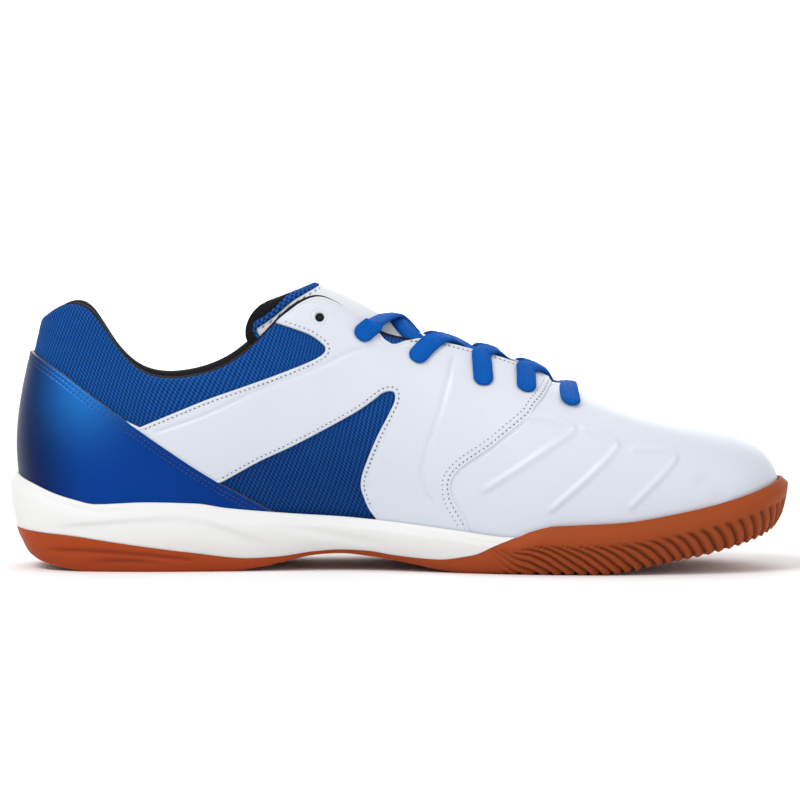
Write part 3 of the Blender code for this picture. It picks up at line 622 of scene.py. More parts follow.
def clothFinish():  # blue dashes over darker gaps, brighter with height as painted light, and the dark lining inside
    cloth = Finish("blue mesh", Roughness=0.7, Specular_IOR_Level=0.12)
    thread = cloth.step(-0.45, 0.45, meshWeave(cloth, cloth.map(), upperPiece["weave"]))
    knit = cloth.noise(2600.0, detail=1.0)
    _, _, z = cloth.split(cloth.place())
    # painted light and shade: the blue and its gaps are brighter higher up and darker low down
    high = cloth.step(0.03, 0.075, z)
    blue = cloth.blend(high, screen(6, 70, 144), screen(10, 88, 170))
    gaps = cloth.blend(high, screen(1, 26, 66), screen(1, 34, 84))
    blue = cloth.blend(thread * 0.8 + knit * 0.2, gaps, blue)
    lining = cloth.step(-0.012, 0.012, cloth.mark("lining"))
    cloth.set(Base_Color=cloth.blend(lining, blue, darkCloth(cloth, cloth.noise(700.0))))
    cloth.bump((1 - lining) * thread * 0.25 + knit * 0.05)
    return cloth


def makeUpper():
    # the shell from the sole up, over the edge and down again, a little sunk where cloth and lining meet
    count = upperPiece["stations"]
    places = np.linspace(0.0, ringEnd, count, endpoint=False)
    w = np.concatenate((
        (-0.9, -0.5, -0.15), np.linspace(0.0, 1.0, upperPiece["rise"]),
        1.0 + np.linspace(0.0, 1.0, upperPiece["roll"])[1:-1],
        np.linspace(2.0, 3.0, upperPiece["inside"]), (3.5, 3.9),
    ))
    lining = w[:, None] - liningEdge(places)[None, :]
    sunk = -upperPiece["crease"] * bell(lining, upperPiece["creaseWidth"])
    points, _ = shell(places[None, :], w[:, None], sunk)
    rise = np.cumsum(np.linalg.norm(np.diff(points, axis=0), axis=2), axis=0)
    rise = np.vstack((np.zeros(count), rise, rise[-1:] + 0.004))
    uv = gridMap(np.append(places, ringEnd)[None, :], np.hstack((rise, rise[:, :1])))
    faces = gridFaces(len(w), count, True, True)
    made = addMesh("upperShell", points.reshape(-1, 3), [faces], {"lining": lining.ravel()}, uv)
    dress(made, clothFinish(), "blue_mesh", "upper")


makeUpper()
print("upper: shell, collar and lining")

# The overlays: panels cut from the skin over the shell
panel = {
    "pitch": 0.0007, "rows": 120, "overRows": 6, "tuck": -0.16, "edge": 0.0007, "sunk": -0.0002,
    "thick": shoe["overlay"] + 0.0003, "back": 0.0003, "hole": 0.00155, "mapRise": 0.09,
    "stitchIn": 0.0015, "counterRows": (0.0019, 0.0034), "rowWidth": 0.0004,
}


def findSpots(x, z, side):
    # places and w of side-view points on one side: the nearest of a grid, then Newton's steps
    places = np.linspace(0.0, toePlace, 400) if side < 0 else np.linspace(toePlace, ringEnd, 400)
    w = np.linspace(0.0, 1.0, 90)
    flat = shell(places[:, None], w[None, :])[0].reshape(-1, 3)
    best = np.array([np.argmin((flat[:, 0] - a) ** 2 + (flat[:, 2] - b) ** 2) for a, b in zip(x, z)])
    p, q = places[best // len(w)].copy(), w[best % len(w)].copy()
    stepP, stepQ = 0.0003, 0.003
    for _ in range(4):
        here = shell(p, q)[0]
        byP = (shell(p + stepP, q)[0] - here) / stepP
        byQ = (shell(p, q + stepQ)[0] - here) / stepQ
        missX, missZ = x - here[:, 0], z - here[:, 2]
        area = byP[:, 0] * byQ[:, 2] - byP[:, 2] * byQ[:, 0]
        area = np.where(np.abs(area) < 1e-6, 1e-6, area)
        p += np.clip((missX * byQ[:, 2] - missZ * byQ[:, 0]) / area, -0.002, 0.002)
        q += np.clip((missZ * byP[:, 0] - missX * byP[:, 2]) / area, -0.03, 0.03)
    return p, q


eyeletSpots = {side: findSpots(*scaled(eyelets).T, side) for side in (-1.0, 1.0)}


def splitAt(spots, faces, values, level):
    # cuts every triangle that the level crosses: its lone corner goes to one side, its other two to the other
    above = values > level
    total = above[faces].sum(axis=1)
    whole, mixed = faces[(total == 0) | (total == 3)], faces[(total == 1) | (total == 2)]
    flag = above[mixed]
    lone = (flag == (flag.sum(axis=1) == 1)[:, None]).argmax(axis=1)
    a, b, c = mixed[np.arange(len(mixed))[:, None], (lone[:, None] + np.arange(3)) % 3].T
    edges = np.sort(np.vstack((np.column_stack((a, b)), np.column_stack((a, c)))), axis=1)
    pairs, index = np.unique(edges, axis=0, return_inverse=True)
    index = index.ravel() + len(spots)
    share = ((level - values[pairs[:, 0]]) / (values[pairs[:, 1]] - values[pairs[:, 0]]))[:, None]
    fresh = spots[pairs[:, 0]] * (1.0 - share) + spots[pairs[:, 1]] * share
    ab, ac = index[: len(a)], index[len(a) :]
    cut = np.vstack((np.column_stack((a, ab, ac)), np.column_stack((ab, b, c)), np.column_stack((ab, c, ac))))
    return np.vstack((spots, fresh)), np.vstack((whole, cut)), np.append(values, np.full(len(pairs), level))


def cutPanel(name, low, high, outline, relief, thickness, over=False, notch=None):
    # a grid in place and w, cut where the distance to its outline is 0 and rounded over the first part of it;
    # a panel that goes over the top ends at the lining, and a notched one has the eyelets too
    places = np.linspace(low, high, int((high - low) / panel["pitch"]))
    w = np.linspace(panel["tuck"], 1.0, panel["rows"])[:, None] + 0.0 * places
    if over:
        end = liningEdge(places)
        w = np.minimum(w, end)
        more = np.linspace(0.0, 1.0, panel["overRows"] + 1)[1:, None]
        w = np.vstack((w, w[-1] + more * (np.maximum(end, 1.0) - w[-1] + 0.00001)))
    points, _ = shell(places[None, :], w)
    x, z = points[:, :, 0].ravel(), points[:, :, 2].ravel()
    edge = depthIn(x, z, outline)
    if over:
        steps = np.linalg.norm(np.diff(points, axis=0), axis=2)
        toTop = np.vstack((np.cumsum(steps[::-1], axis=0)[::-1], 0.0 * places))
        edge = np.minimum(edge, toTop.ravel())
    if notch is not None:
        edge = np.minimum(edge, -depthIn(x, z, notch))
        for p, q in (spot for side in (-1.0, 1.0) for spot in zip(*eyeletSpots[side])):
            away = np.linalg.norm(points.reshape(-1, 3) - spotAt(p, q)[0], axis=1)
            edge = np.minimum(edge, away - panel["hole"])
    quads = gridFaces(*w.shape)
    faces = np.vstack((quads[:, [0, 1, 2]], quads[:, [0, 2, 3]]))
    spots = np.column_stack((np.broadcast_to(places, w.shape).ravel(), w.ravel()))
    spots, faces, edge = splitAt(spots, faces, edge, 0.0)
    faces = faces[edge[faces].mean(axis=1) > 0.0]
    for level in (0.25, 1.0):
        spots, faces, edge = splitAt(spots, faces, edge, level * panel["edge"])
    used, faces = np.unique(faces, return_inverse=True)
    faces = faces.reshape(-1, 3)
    spots, edge = spots[used], edge[used]
    base, _ = shell(spots[:, 0], spots[:, 1])
    inwards = 1.0 - np.clip(edge / panel["edge"], 0.0, 1.0)
    lift = panel["sunk"] + (thickness - panel["sunk"]) * np.sqrt(1.0 - inwards**2)
    points, _ = shell(spots[:, 0], spots[:, 1], lift + relief(base, edge))
    uv = spots * [1.0, panel["mapRise"]]
    made = addMesh(name, points, [faces], {"edge": edge * 1000.0}, uv[faces.ravel()])
    wall = made.modifiers.new("back", "SOLIDIFY")
    wall.thickness, wall.offset = panel["back"], -1.0
    return made


def lineRelief(base, table, height, width, taper=0.004):
    # a soft ridge, or a groove below zero, along a side-view line, fading at both ends
    line = sideLine(table)
    near, along, _ = nearLine(base[:, 0], base[:, 2], line)
    total = runAlong(line)[-1]
    fade = smoothStep(0.0, taper, along) * smoothStep(0.0, taper, total - along)
    return height * bell(near, width) * fade


# Embossed lines and creases: side-view tables, height and half width in metres
quarterLines = (
    ((
        (0.186, 0.491), (0.258, 0.564), (0.323, 0.649), (0.389, 0.716), (0.436, 0.776), (0.479, 0.807),
    ), -0.00050, 0.0007),
    (((0.498, 0.549), (0.482, 0.476), (0.467, 0.385), (0.462, 0.313), (0.466, 0.258)), -0.00035, 0.0007),
    ((
        (0.571, 0.776), (0.551, 0.567), (0.534, 0.422), (0.529, 0.331), (0.534, 0.276), (0.547, 0.240),
    ), -0.00060, 0.0010),
)
vampLines = (
    ((
        (0.650, 0.560), (0.695, 0.538), (0.715, 0.520), (0.718, 0.498), (0.690, 0.447), (0.647, 0.367),
        (0.600, 0.285),
    ), 0.0009, 0.0012),
    ((
        (0.722, 0.520), (0.750, 0.494), (0.772, 0.462), (0.768, 0.425), (0.728, 0.320), (0.684, 0.215),
    ), 0.0009, 0.0012),
    ((
        (0.785, 0.438), (0.816, 0.440), (0.842, 0.425), (0.846, 0.400), (0.823, 0.330), (0.784, 0.225),
    ), 0.0008, 0.0012),
    (((0.872, 0.345), (0.893, 0.300), (0.910, 0.240)), -0.0005, 0.0040),
)


def quarterRelief(base, edge):  # the embossed lines, less a trough under the stitches
    lines = sum(lineRelief(base, *line) for line in quarterLines)
    return lines - 0.00012 * bell(edge - panel["stitchIn"], panel["rowWidth"])


def vampRelief(base, edge):  # the embossed lines
    return sum(lineRelief(base, *line) for line in vampLines)


def counterRelief(base, edge):  # a trough under each row of stitches
    return sum(-0.00015 * bell(edge - row, panel["rowWidth"]) for row in panel["counterRows"])


def syntheticFinish():  # nearly white with soft clouds, a hair darker low down as painted shade, fine grain, the cut edge's grey darkened into a painted shade line, and a trough at the stitches
    skin = Finish("white synthetic", Coat_Weight=0.12, Coat_Roughness=0.3, Specular_IOR_Level=0.4)
    edge = skin.mark("edge")
    _, _, z = skin.split(skin.place())
    soft = skin.noise(24.0, detail=3.0)
    grain = skin.noise(1500.0, detail=2.0)
    # painted shade: a hair darker low down
    white = skin.blend(skin.step(0.02, 0.07, z), screen(206, 211, 221), screen(208, 212, 221))
    white = skin.blend(soft * 0.3, white, screen(195, 201, 213))
    # the cut edge's own grey, darkened to stand in for the shade line along the panel edges: partly real, partly
    # painted shade
    rim = 1 - skin.step(0.0, 0.35, edge)
    skin.set(Base_Color=skin.blend(rim * 0.8, white, screen(122, 120, 126)))
    skin.set(Roughness=0.32 + 0.12 * soft + 0.06 * grain)
    row = skin.bell(edge - 1000 * panel["stitchIn"], 0.28)
    skin.bump(grain * 0.035 + soft * 0.12 - row * 0.14)
    return skin


def counterFinish():  # metallic blue with painted shade dark at the back and a little darker toward the front, a painted highlight as a bright spot, a pale cut edge and two troughs
    skin = Finish("metallic blue synthetic", Metallic=0.85, Specular_IOR_Level=0.3)
    x, _, z = skin.split(skin.place())
    edge = skin.mark("edge")
    soft = skin.noise(20.0, detail=3.0)
    grain = skin.noise(1400.0, detail=2.0)
    # painted shade: dark toward the back edge, and a little darker toward the front
    blue = skin.blend(skin.step(-0.139, -0.114, x), screen(10, 22, 62), screen(6, 62, 146))
    blue = skin.blend(skin.step(-0.100, -0.06, x), blue, screen(3, 54, 132))
    blue = skin.blend(soft * 0.35, blue, screen(3, 42, 108))
    # painted highlight: a bright spot in the upper middle
    spot = skin.bell(x + 0.118, 0.015) * skin.bell(z - 0.069, 0.018)
    blue = skin.blend(spot * (0.55 + 0.5 * soft), blue, screen(40, 124, 208))
    rim = 1 - skin.step(0.10, 0.45, edge)
    skin.set(Base_Color=skin.blend(rim * 0.8, blue, screen(166, 160, 142)))
    skin.set(Roughness=0.34 + 0.14 * soft + 0.05 * grain)
    rows = sum(skin.bell(edge - 1000 * row, 0.25) for row in panel["counterRows"])
    skin.bump(grain * 0.03 + soft * 0.1 - rows * 0.12)
    return skin


def placesOf(share, side):  # the place round the ring whose outline is at a share of the length
    knots = ringKnots[: toeRow + 1] if side < 0 else ringKnots[: toeRow - 1 : -1]
    return np.interp(share * shoe["length"], ring[: toeRow + 1, 0], knots)


def makePanels():  # their outlines, closed round from the side-view lines, and the panels cut by them
    seam, foot, top, counter = (sideLine(line) for line in (toeSeam, bandFoot, bandTop, counterLine))
    behind = scaled([row for row in counterLine if 0.10 < row[0] < 0.30])[::-1] - [0.0012, 0.0012]
    quarter = np.vstack((top, scaled([(0.25, 1.2), (0.72, 1.2)]), seam, foot, behind))
    front = scaled([(0.599, -0.1), (1.2, -0.1), (1.2, 1.2)])
    vamp = np.vstack((scaled([(0.713, 1.2)]), seam - [0.0014, 0.0], front))
    heel = np.vstack((counter, scaled([(0.39, -0.1), (-0.1, -0.1), (-0.1, 1.1)])))
    white, thick, notch = syntheticFinish(), panel["thick"], scaled(notchLine)
    for side, name, node in (
        (-1, "quarterInnerPanel", "quarter_inner"), (1, "quarterOuterPanel", "quarter_outer"),
    ):
        low, high = sorted((placesOf(0.14, side), placesOf(0.80, side)))
        made = cutPanel(name, low, high, quarter, quarterRelief, thick, True, notch)
        dress(made, white, "white_synthetic", node)
    low, high = placesOf(0.555, -1), placesOf(0.555, 1)
    made = cutPanel("vampPanel", low, high, vamp, vampRelief, thick - 0.0005, True)
    dress(made, white, "white_synthetic", "vamp")
    low, high = placesOf(0.41, 1) - ringEnd, placesOf(0.41, -1)
    made = cutPanel("heelCounterPanel", low, high, heel, counterRelief, thick + 0.0004)
    dress(made, counterFinish(), "metallic_blue_synthetic", "heel_counter")


makePanels()
print("panels: quarters, vamp and heel counter")

# Stitches: one small closed bar each, along rows inside the edges
stitch = {
    "length": 0.0013, "width": 0.00048, "height": 0.00036, "pitch": 0.0018, "lift": 0.00008,
    "hole": 0.00044, "secondRow": 0.0019,
}


def insetLine(line, depth):  # a side-view line moved sideways, without the places where it would cross itself
    slope = np.gradient(line, axis=0)
    moved = line + unit(np.column_stack((-slope[:, 1], slope[:, 0]))) * depth
    near, _, _ = nearLine(moved[:, 0], moved[:, 1], line)
    return moved[near > abs(depth) * 0.97]


def readEvenly(points, normals):  # points, directions and normals at even steps along a row
    reached = runAlong(points)
    where = np.arange(0.5 * stitch["pitch"], reached[-1], stitch["pitch"])
    spots, ups = (
        np.column_stack([np.interp(where, reached, field[:, i]) for i in range(3)]) for field in (points, normals)
    )
    return spots, unit(np.gradient(spots, axis=0)), ups


def stitchMesh(name, rows, finish, slotName):  # bars of three six-sided loops and two tips, bent down at the ends
    turn = np.linspace(0.0, 2.0 * np.pi, 6, endpoint=False)
    shape = [(-1.0, 0.0, -0.6)]
    for along, size in ((-0.62, 0.75), (0.0, 1.0), (0.62, 0.75)):
        shape += [(along, size * math.cos(a), size * math.sin(a) - 0.25 * abs(along)) for a in turn]
    sizes = np.array([stitch["length"], stitch["width"], stitch["height"]])
    shape = np.array(shape + [(1.0, 0.0, -0.6)]) * sizes / 2
    tips = np.vstack((fan(1, 6, 0)[:, [2, 1, 0]], fan(13, 6, 19)[:, [2, 0, 1]]))
    sides = gridFaces(3, 6, False, True) + 1
    centre, along, up = (np.vstack([row[i] for row in rows]) for i in range(3))
    across = np.cross(up, along)
    points = (
        centre[:, None] + along[:, None] * shape[None, :, :1] + across[:, None] * shape[None, :, 1:2]
        + up[:, None] * (shape[None, :, 2:] + stitch["lift"])
    )
    base = (np.arange(len(centre)) * len(shape))[:, None, None]
    faces = [(base + part).reshape(-1, part.shape[1]) for part in (tips, sides)]
    dress(addMesh(name, points.reshape(-1, 3), faces), finish, slotName)


def rowAt(line, side, depth, lift):  # stitches beside a side-view line, wherever it lies on the shoe's side
    moved = insetLine(line, depth)
    p, q = findSpots(*moved.T, side)
    miss = np.linalg.norm(shell(p, q)[0][:, [0, 2]] - moved, axis=1)
    good = (q > 0.0) & (q < 0.97) & (miss < 0.0003)
    return readEvenly(*shell(p[good], q[good], lift))


def lensMesh(name, centres, ups, firsts, count, radius, high, low):
    # dark lenses: a loop about each centre, with a tip above it and one below
    turn = np.linspace(0.0, 2.0 * np.pi, count, endpoint=False)[None, :, None]
    rim = np.cos(turn) * firsts[:, None] + np.sin(turn) * np.cross(ups, firsts)[:, None]
    tips = np.stack((centres + ups * high, centres - ups * low), axis=1)
    points = np.concatenate((centres[:, None] + rim * radius, tips), axis=1)
    faces = np.vstack((fan(0, count, count), fan(0, count, count + 1)[:, [1, 0, 2]]))
    base = (np.arange(len(centres)) * (count + 2))[:, None, None]
    made = addMesh(name, points.reshape(-1, 3), [(base + faces).reshape(-1, 3)])
    mendMesh(made)
    return made


def shadeFinish(name, scale, low, high):
    shade = Finish(name, Roughness=0.9)
    shade.set(Base_Color=shade.blend(shade.noise(scale), screen(*low), screen(*high)))
    return shade


def makeHoleShades(rows):  # a dark lens between stitch and stitch, where the needle went through: painted shade in the needle hole
    centre, along, up = (np.vstack([row[i] for row in rows]) for i in range(3))
    centre = centre + along * stitch["pitch"] / 2
    made = lensMesh("stitchHoleShades", centre, up, along, 8, stitch["hole"], 0.00014, 0.0002)
    dress(made, shadeFinish("stitch hole shade", 1200.0, (98, 90, 88), (124, 114, 108)), "white_synthetic")


def threadFinish(name, red, green, blue):  # one colour, darker in the twist
    thread = Finish(name, Roughness=0.55, Sheen_Weight=0.2)
    twist = thread.noise(2500.0, detail=1.0)
    shaded = screen(red * 0.8, green * 0.8, blue * 0.85)
    thread.set(Base_Color=thread.blend(twist * 0.5, screen(red, green, blue), shaded))
    thread.bump(twist * 0.06)
    return thread


def makeStitches():
    # rows beside the panels' edges, two at the toe seam and on the counter, and one under the throat's edge
    # except where the notch is
    white, blue = [], []
    lift = shoe["overlay"] + 0.00018
    inset = panel["stitchIn"]
    seam = sideLine(toeSeam[2:-1])
    for side in (-1.0, 1.0):
        for line in (sideLine(bandTop), sideLine(bandFoot[3:]), seam):
            white.append(rowAt(line, side, -inset, lift))
        white.append(rowAt(seam, side, -inset - stitch["secondRow"], lift + 0.00006))
        for row in panel["counterRows"]:
            blue.append(rowAt(sideLine(counterLine), side, -row, lift + 0.00036))
        places = np.linspace(placesOf(0.55, side), placesOf(0.76, side), 200)
        points, normals = shell(places, 0.965 + 0 * places, lift + 0.00012)
        out = ~insideOutline(points[:, 0], points[:, 2] - 0.001, scaled(notchLine))
        for run in np.split(np.arange(len(places)), np.flatnonzero(np.diff(out)) + 1):
            if out[run[0]] and len(run) > 4:
                white.append(readEvenly(points[run], normals[run]))
    makeHoleShades(white)
    stitchMesh("whiteStitches", white, threadFinish("white thread", 228, 231, 238), "white_synthetic")
    stitchMesh("blueStitches", blue, threadFinish("dark blue thread", 18, 40, 92), "metallic_blue_synthetic")


makeStitches()
print("stitches: white and blue rows")


def makeEyeletShades():  # a dark lens under each eyelet's hole: painted shade in the hole
    spots, normals = (np.vstack(pair) for pair in zip(*(shell(*eyeletSpots[side]) for side in (-1.0, 1.0))))
    firsts = unit(np.cross(normals, (1.0, 0.0, 0.0)))
    made = lensMesh("eyeletShades", spots, normals, firsts, 20, panel["hole"] + 0.0002, 0.00025, 0.0004)
    dress(made, shadeFinish("eyelet shade", 900.0, (14, 14, 20), (26, 26, 34)), "blue_mesh")


makeEyeletShades()

# The sole: gum cup and tread, and the white foam between it and the upper
sole = {
    "rearPitch": 0.0011, "ribPitch": 0.0056, "ribSamples": 10, "ribDepth": 0.0015, "bottomColumns": 84,
    "gumRows": 34, "gumSpread": 1.15, "foamRows": 20, "ribsFrom": 0.58, "bead": 0.0004, "chevron": 0.0062,
    "foamEnd": 0.6895, "slabEnd": 0.580, "dent": 0.0008, "step": 0.0001,
}
# Place along the length, and how far a rib runs forward as it falls
ribSweep = ((0.56, 10.0), (0.697, 8.5), (0.779, 6.2), (0.833, 4.0), (0.903, 2.2), (0.972, 1.1), (1.0, 0.5))
heelRibs = (
    ((0.032, 0.076), (0.106, 0.076), (0.179, 0.062), (0.264, 0.036)),
    ((0.088, 0.033), (0.160, 0.040), (0.215, 0.024)),
)
sculptLine = (
    (0.040, 0.150), (0.066, 0.156), (0.143, 0.175), (0.195, 0.185), (0.229, 0.185), (0.260, 0.167),
    (0.303, 0.124), (0.346, 0.087),
)
sculptLow = ((0.330, 0.175), (0.346, 0.167), (0.432, 0.120), (0.497, 0.091))


def solePlaces():  # places round the sole: coarse at the heel, a few to each rib in front
    start = sole["ribsFrom"] * toePlace
    rear = np.linspace(0.0, start, int(start / sole["rearPitch"]), endpoint=False)
    step = sole["ribPitch"] / sole["ribSamples"]
    front = np.linspace(start, toePlace, int((toePlace - start) / step) + 1)
    return pairedPlaces(rowsAt(np.concatenate((rear, front))))


def soleInset(share):  # how far in the sole's side is, at a share of the height from the ground to the edge
    return steadyCurve(*np.array(soleSide).T, share)


def soleLoop(foot, outward, part, foam):
    # a loop on the sole's side, part of the way from ground to seam or, for the foam, from seam to edge; the
    # inset moves it, so its heights are read twice; returns points, share, ground and edge
    spot = foot - outward * 0.002
    for _ in range(2):
        ground, edge = sideHeight(groundLine, spot[:, 0]), sideHeight(edgeLine, spot[:, 0])
        seam = np.minimum(sideHeight(seamLine, spot[:, 0]) + sole["step"] * foam, edge)
        low = (seam - ground) / (edge - ground)
        share = low + part * (1.0 - low) if foam else part * low
        spot = foot - outward * soleInset(share)[:, None]
    return spot + upward * (ground + share * (edge - ground))[:, None], share, ground, edge


def ribGroove(place, z, edge):
    # ribs fan from flat ones at the ball to upright ones at the toe: each falls as the square of its run
    run = toePlace - np.abs(toePlace - np.mod(place, ringEnd))
    x = np.clip(run / toePlace, 0.0, 1.0)
    sweep = np.interp(x, *np.array(ribSweep).T)
    band = edge - 0.0052 * smoothStep(0.56, 0.70, x) - 0.001
    drop = np.maximum(band - z, 0.0)
    phase = run - sweep * np.sqrt(drop * 1000.0) / 1000.0
    part = np.mod(phase / sole["ribPitch"], 1.0)
    wave = smoothStep(0.0, 0.34, part) * (1.0 - smoothStep(0.86, 1.0, part))
    wave = wave * (1.0 - 0.35 * smoothStep(0.3, 1.0, part))
    fade = smoothStep(0.0, 0.0022, drop) * smoothStep(0.585, 0.65, x)
    return (1.0 - wave) * fade


def gumFinish():  # orange brown, browner to the toe, with painted shade dark in the grooves
    gum = Finish("gum rubber", Specular_IOR_Level=0.12)
    x, _, z = gum.split(gum.place())
    groove = gum.mark("groove")
    soft = gum.noise(30.0, detail=4.0)
    fine = gum.noise(900.0, detail=3.0)
    tone = gum.blend(gum.step(-0.12, 0.12, x), screen(166, 66, 27), screen(152, 70, 30))
    tone = gum.blend(soft * 0.4, tone, screen(140, 60, 26))
    # painted shade: darker where the groove mark is, in the ribs and the tread
    tone = gum.blend(groove * 0.8, tone, screen(76, 30, 13))
    gum.set(Base_Color=tone, Roughness=0.46 + 0.12 * soft + 0.06 * fine)
    gum.bump(fine * 0.03 + soft * 0.1)
    return gum


def makeOutsole():
    # loops from the ground up to the seam, cut by the ribs, then over the rim and down the tray, and the tread
    places = solePlaces()
    count = len(places)
    foot, outward, *_ = planAt(places)
    loops, marks = [], []
    for part in np.linspace(0.0, 1.0, sole["gumRows"]) ** sole["gumSpread"]:
        spot, share, ground, edge = soleLoop(foot, outward, part, False)
        groove = ribGroove(places, spot[:, 2], edge)
        for table in heelRibs:
            groove = np.maximum(groove, lineRelief(spot, table, 0.45, 0.0009, 0.015))
        low = 1.0 - smoothStep(0.0, 0.25, share)
        depth = sole["ribDepth"] * groove
        inward, lifted = depth * (1.0 - 0.45 * low), depth * 1.1 * low
        loops.append(spot - outward * inward[:, None] + upward * lifted[:, None])
        marks.append(groove)
    top = loops[-1][:, 2]
    full, outer = smoothStep(0.94, 1.0, share), soleInset(share)
    for part in (0.2, 0.45, 0.7, 1.0):
        inset = outer + (trayInset - outer) * part
        bead = sole["bead"] * math.sin(math.pi * part) * full
        loops.append(foot - outward * inset[:, None] + upward * (top + bead)[:, None])
    tray = foot - outward * (trayInset + shoe["gap"])
    floor = np.minimum(sideHeight(floorLine, tray[:, 0]), top - 0.0002)
    loops.append(tray + upward * floor[:, None])
    points = np.array(loops)
    marks = np.array(marks + [0.0 * places] * (len(loops) - len(marks)))
    faces = [gridFaces(len(points), count, False, True)] + capFaces((len(points) - 1) * count, count)
    sidePoints = points.reshape(-1, 3)
    bottom, bottomMarks = makeTread(points[0], marks[0])
    turned = gridFaces(*bottom.shape[:2])[:, ::-1] + len(sidePoints)
    made = addMesh(
        "outsoleGum", np.vstack((sidePoints, bottom.reshape(-1, 3))), faces + [turned],
        {"groove": np.append(marks.ravel(), bottomMarks.ravel())},
    )
    mendMesh(made, sameSpot)
    dress(made, gumFinish(), "gum_rubber", "outsole")


def makeTread(loop, loopMarks):
    # the bottom between facing places of its edge: cross cuts where the solids have them, herringbone between
    count = len(loop)
    half = count // 2 + 1
    facing = (count - np.arange(half)) % count
    inner, outer = loop[:half], loop[facing]
    share = np.linspace(0.0, 1.0, sole["bottomColumns"])[None, :]
    grid = inner[:, None] * (1.0 - share[:, :, None]) + outer[:, None] * share[:, :, None]
    x, y = grid[:, :, 0], grid[:, :, 1]
    flat = sideHeight(groundLine, x.ravel()).reshape(x.shape)
    inside = np.minimum(share, 1.0 - share) * np.linalg.norm(inner - outer, axis=1)[:, None]
    cuts = np.concatenate((np.linspace(0.135, 0.255, 4), np.linspace(0.615, 0.735, 5))) * shoe["length"]
    away = np.abs(x[:, :, None] - cuts).min(axis=2)
    cut = 1.0 - smoothStep(0.35, 0.65, away / shoe["treadWidth"])
    chevron = np.abs(np.mod((x + 0.6 * np.abs(y)) / sole["chevron"], 1.0) - 0.5) * 2.0
    fine = 0.5 * (1.0 - smoothStep(0.12, 0.34, chevron)) * (1.0 - cut)
    channel = 0.6 * bell(y, 0.0012)
    along = x / shoe["length"]
    waist = smoothStep(0.30, 0.34, along) * (1.0 - smoothStep(0.53, 0.58, along))
    border = smoothStep(0.003, 0.005, inside)
    groove = np.maximum(fine, channel) * border * (1.0 - 0.7 * waist)
    groove = np.maximum(groove, cut * smoothStep(0.0, 0.0006, inside))
    rim = 1.0 - smoothStep(0.0, 0.007, inside)
    innerLift, outerLift = inner[:, 2] - flat[:, 0], outer[:, 2] - flat[:, -1]
    edgeLift = np.where(share < 0.5, innerLift[:, None], outerLift[:, None])
    grid[:, :, 2] = flat + edgeLift * rim + groove * shoe["treadDepth"]
    grid[:, 0, 2], grid[:, -1, 2] = inner[:, 2], outer[:, 2]
    marks = np.clip(groove, 0.0, 1.0)
    marks[:, 0], marks[:, -1] = loopMarks[:half], loopMarks[facing]
    return grid, marks


def foamFinish():  # white with fine pores, a little darker low down
    foam = Finish("white foam", Roughness=0.55, Specular_IOR_Level=0.4)
    soft = foam.noise(18.0, detail=3.0)
    pores = foam.noise(1100.0, detail=3.0)
    _, _, z = foam.split(foam.place())
    white = foam.blend(foam.step(0.004, 0.02, z), screen(216, 215, 212), screen(226, 226, 225))
    foam.set(Base_Color=foam.blend(soft * 0.3, white, screen(214, 214, 213)), Roughness=0.5 + 0.15 * pores)
    foam.bump(pores * 0.04 + soft * 0.15)
    return foam


def makeMidsole():
    # a rim with a closed section from the seam up to the edge and down the tray, and the slab under the foot
    allPlaces = solePlaces()
    x = planAt(allPlaces)[0][:, 0] / shoe["length"]
    keep = np.flatnonzero(x < sole["foamEnd"])
    inner, outer = keep[keep <= len(x) // 2], keep[keep > len(x) // 2]
    places = allPlaces[np.concatenate((outer, inner))]
    foot, outward, *_ = planAt(places)
    loops = []
    for part in np.linspace(0.0, 1.0, sole["foamRows"]):
        spot, share, ground, edge = soleLoop(foot, outward, part, True)
        near, along, side = nearLine(spot[:, 0], spot[:, 2], sideLine(sculptLine))
        fade = smoothStep(0.0, 0.02, along) * smoothStep(0.0, 0.02, 0.095 - along)
        dent = np.where(side > 0, bell(near, 0.0010), bell(near, 0.0045)) * fade * sole["dent"]
        dent = dent + lineRelief(spot, sculptLow, 0.0005, 0.0016, 0.015)
        lip = 0.0004 * bell((1.0 - share) * (edge - ground) - 0.0022, 0.0005)
        loops.append(spot - outward * (dent + lip)[:, None])
    top, foundation = loops[-1][:, 2], loops[0][:, 2]
    for part in (0.25, 0.5, 0.75, 1.0):
        inset = shoe["rimOutset"] + (trayInset - shoe["rimOutset"]) * part
        bead = sole["bead"] * math.sin(math.pi * part)
        loops.append(foot - outward * inset + upward * (top + bead)[:, None])
    tray = foot - outward * (trayInset + shoe["gap"])
    for height in (np.maximum(sideHeight(floorLine, tray[:, 0]), foundation), foundation - sole["step"]):
        loops.append(tray + upward * height[:, None])
    rim = np.vstack(loops)
    faces = [gridFaces(len(loops), len(places), True, False)]
    places = allPlaces[[i for part in (inner, outer) for i in part if x[i] < sole["slabEnd"]]]
    foot, outward, *_ = planAt(places)
    edge = foot - outward * (trayInset + 0.0001)
    seam = sideHeight(seamLine, edge[:, 0]) + sole["step"]
    floor = np.maximum(sideHeight(floorLine, edge[:, 0]), seam + 0.0002)
    slab = np.vstack((edge + upward * seam[:, None], edge + upward * floor[:, None]))
    start, count = len(rim), len(places)
    faces.append(gridFaces(2, count, False, True) + start)
    faces += [group[:, ::-1] for group in capFaces(start, count)] + capFaces(start + count, count)
    made = addMesh("midsoleFoam", np.vstack((rim, slab)), faces)
    mendMesh(made, sameSpot)
    dress(made, foamFinish(), "white_foam", "midsole")


makeOutsole()
makeMidsole()
print("sole: gum with ribs and tread, foam")

# The tongue: padded, white outside, bound in blue mesh, dark inside
tongue = {
    "rows": 170, "around": 160, "faceColumns": 40, "binding": 0.0036, "rim": 0.0034, "corner": 0.0075,
    "endRound": 0.0022, "holesIn": 0.0048, "weave": 0.0010, "mapWidth": 0.060, "fill": 0.5,
}
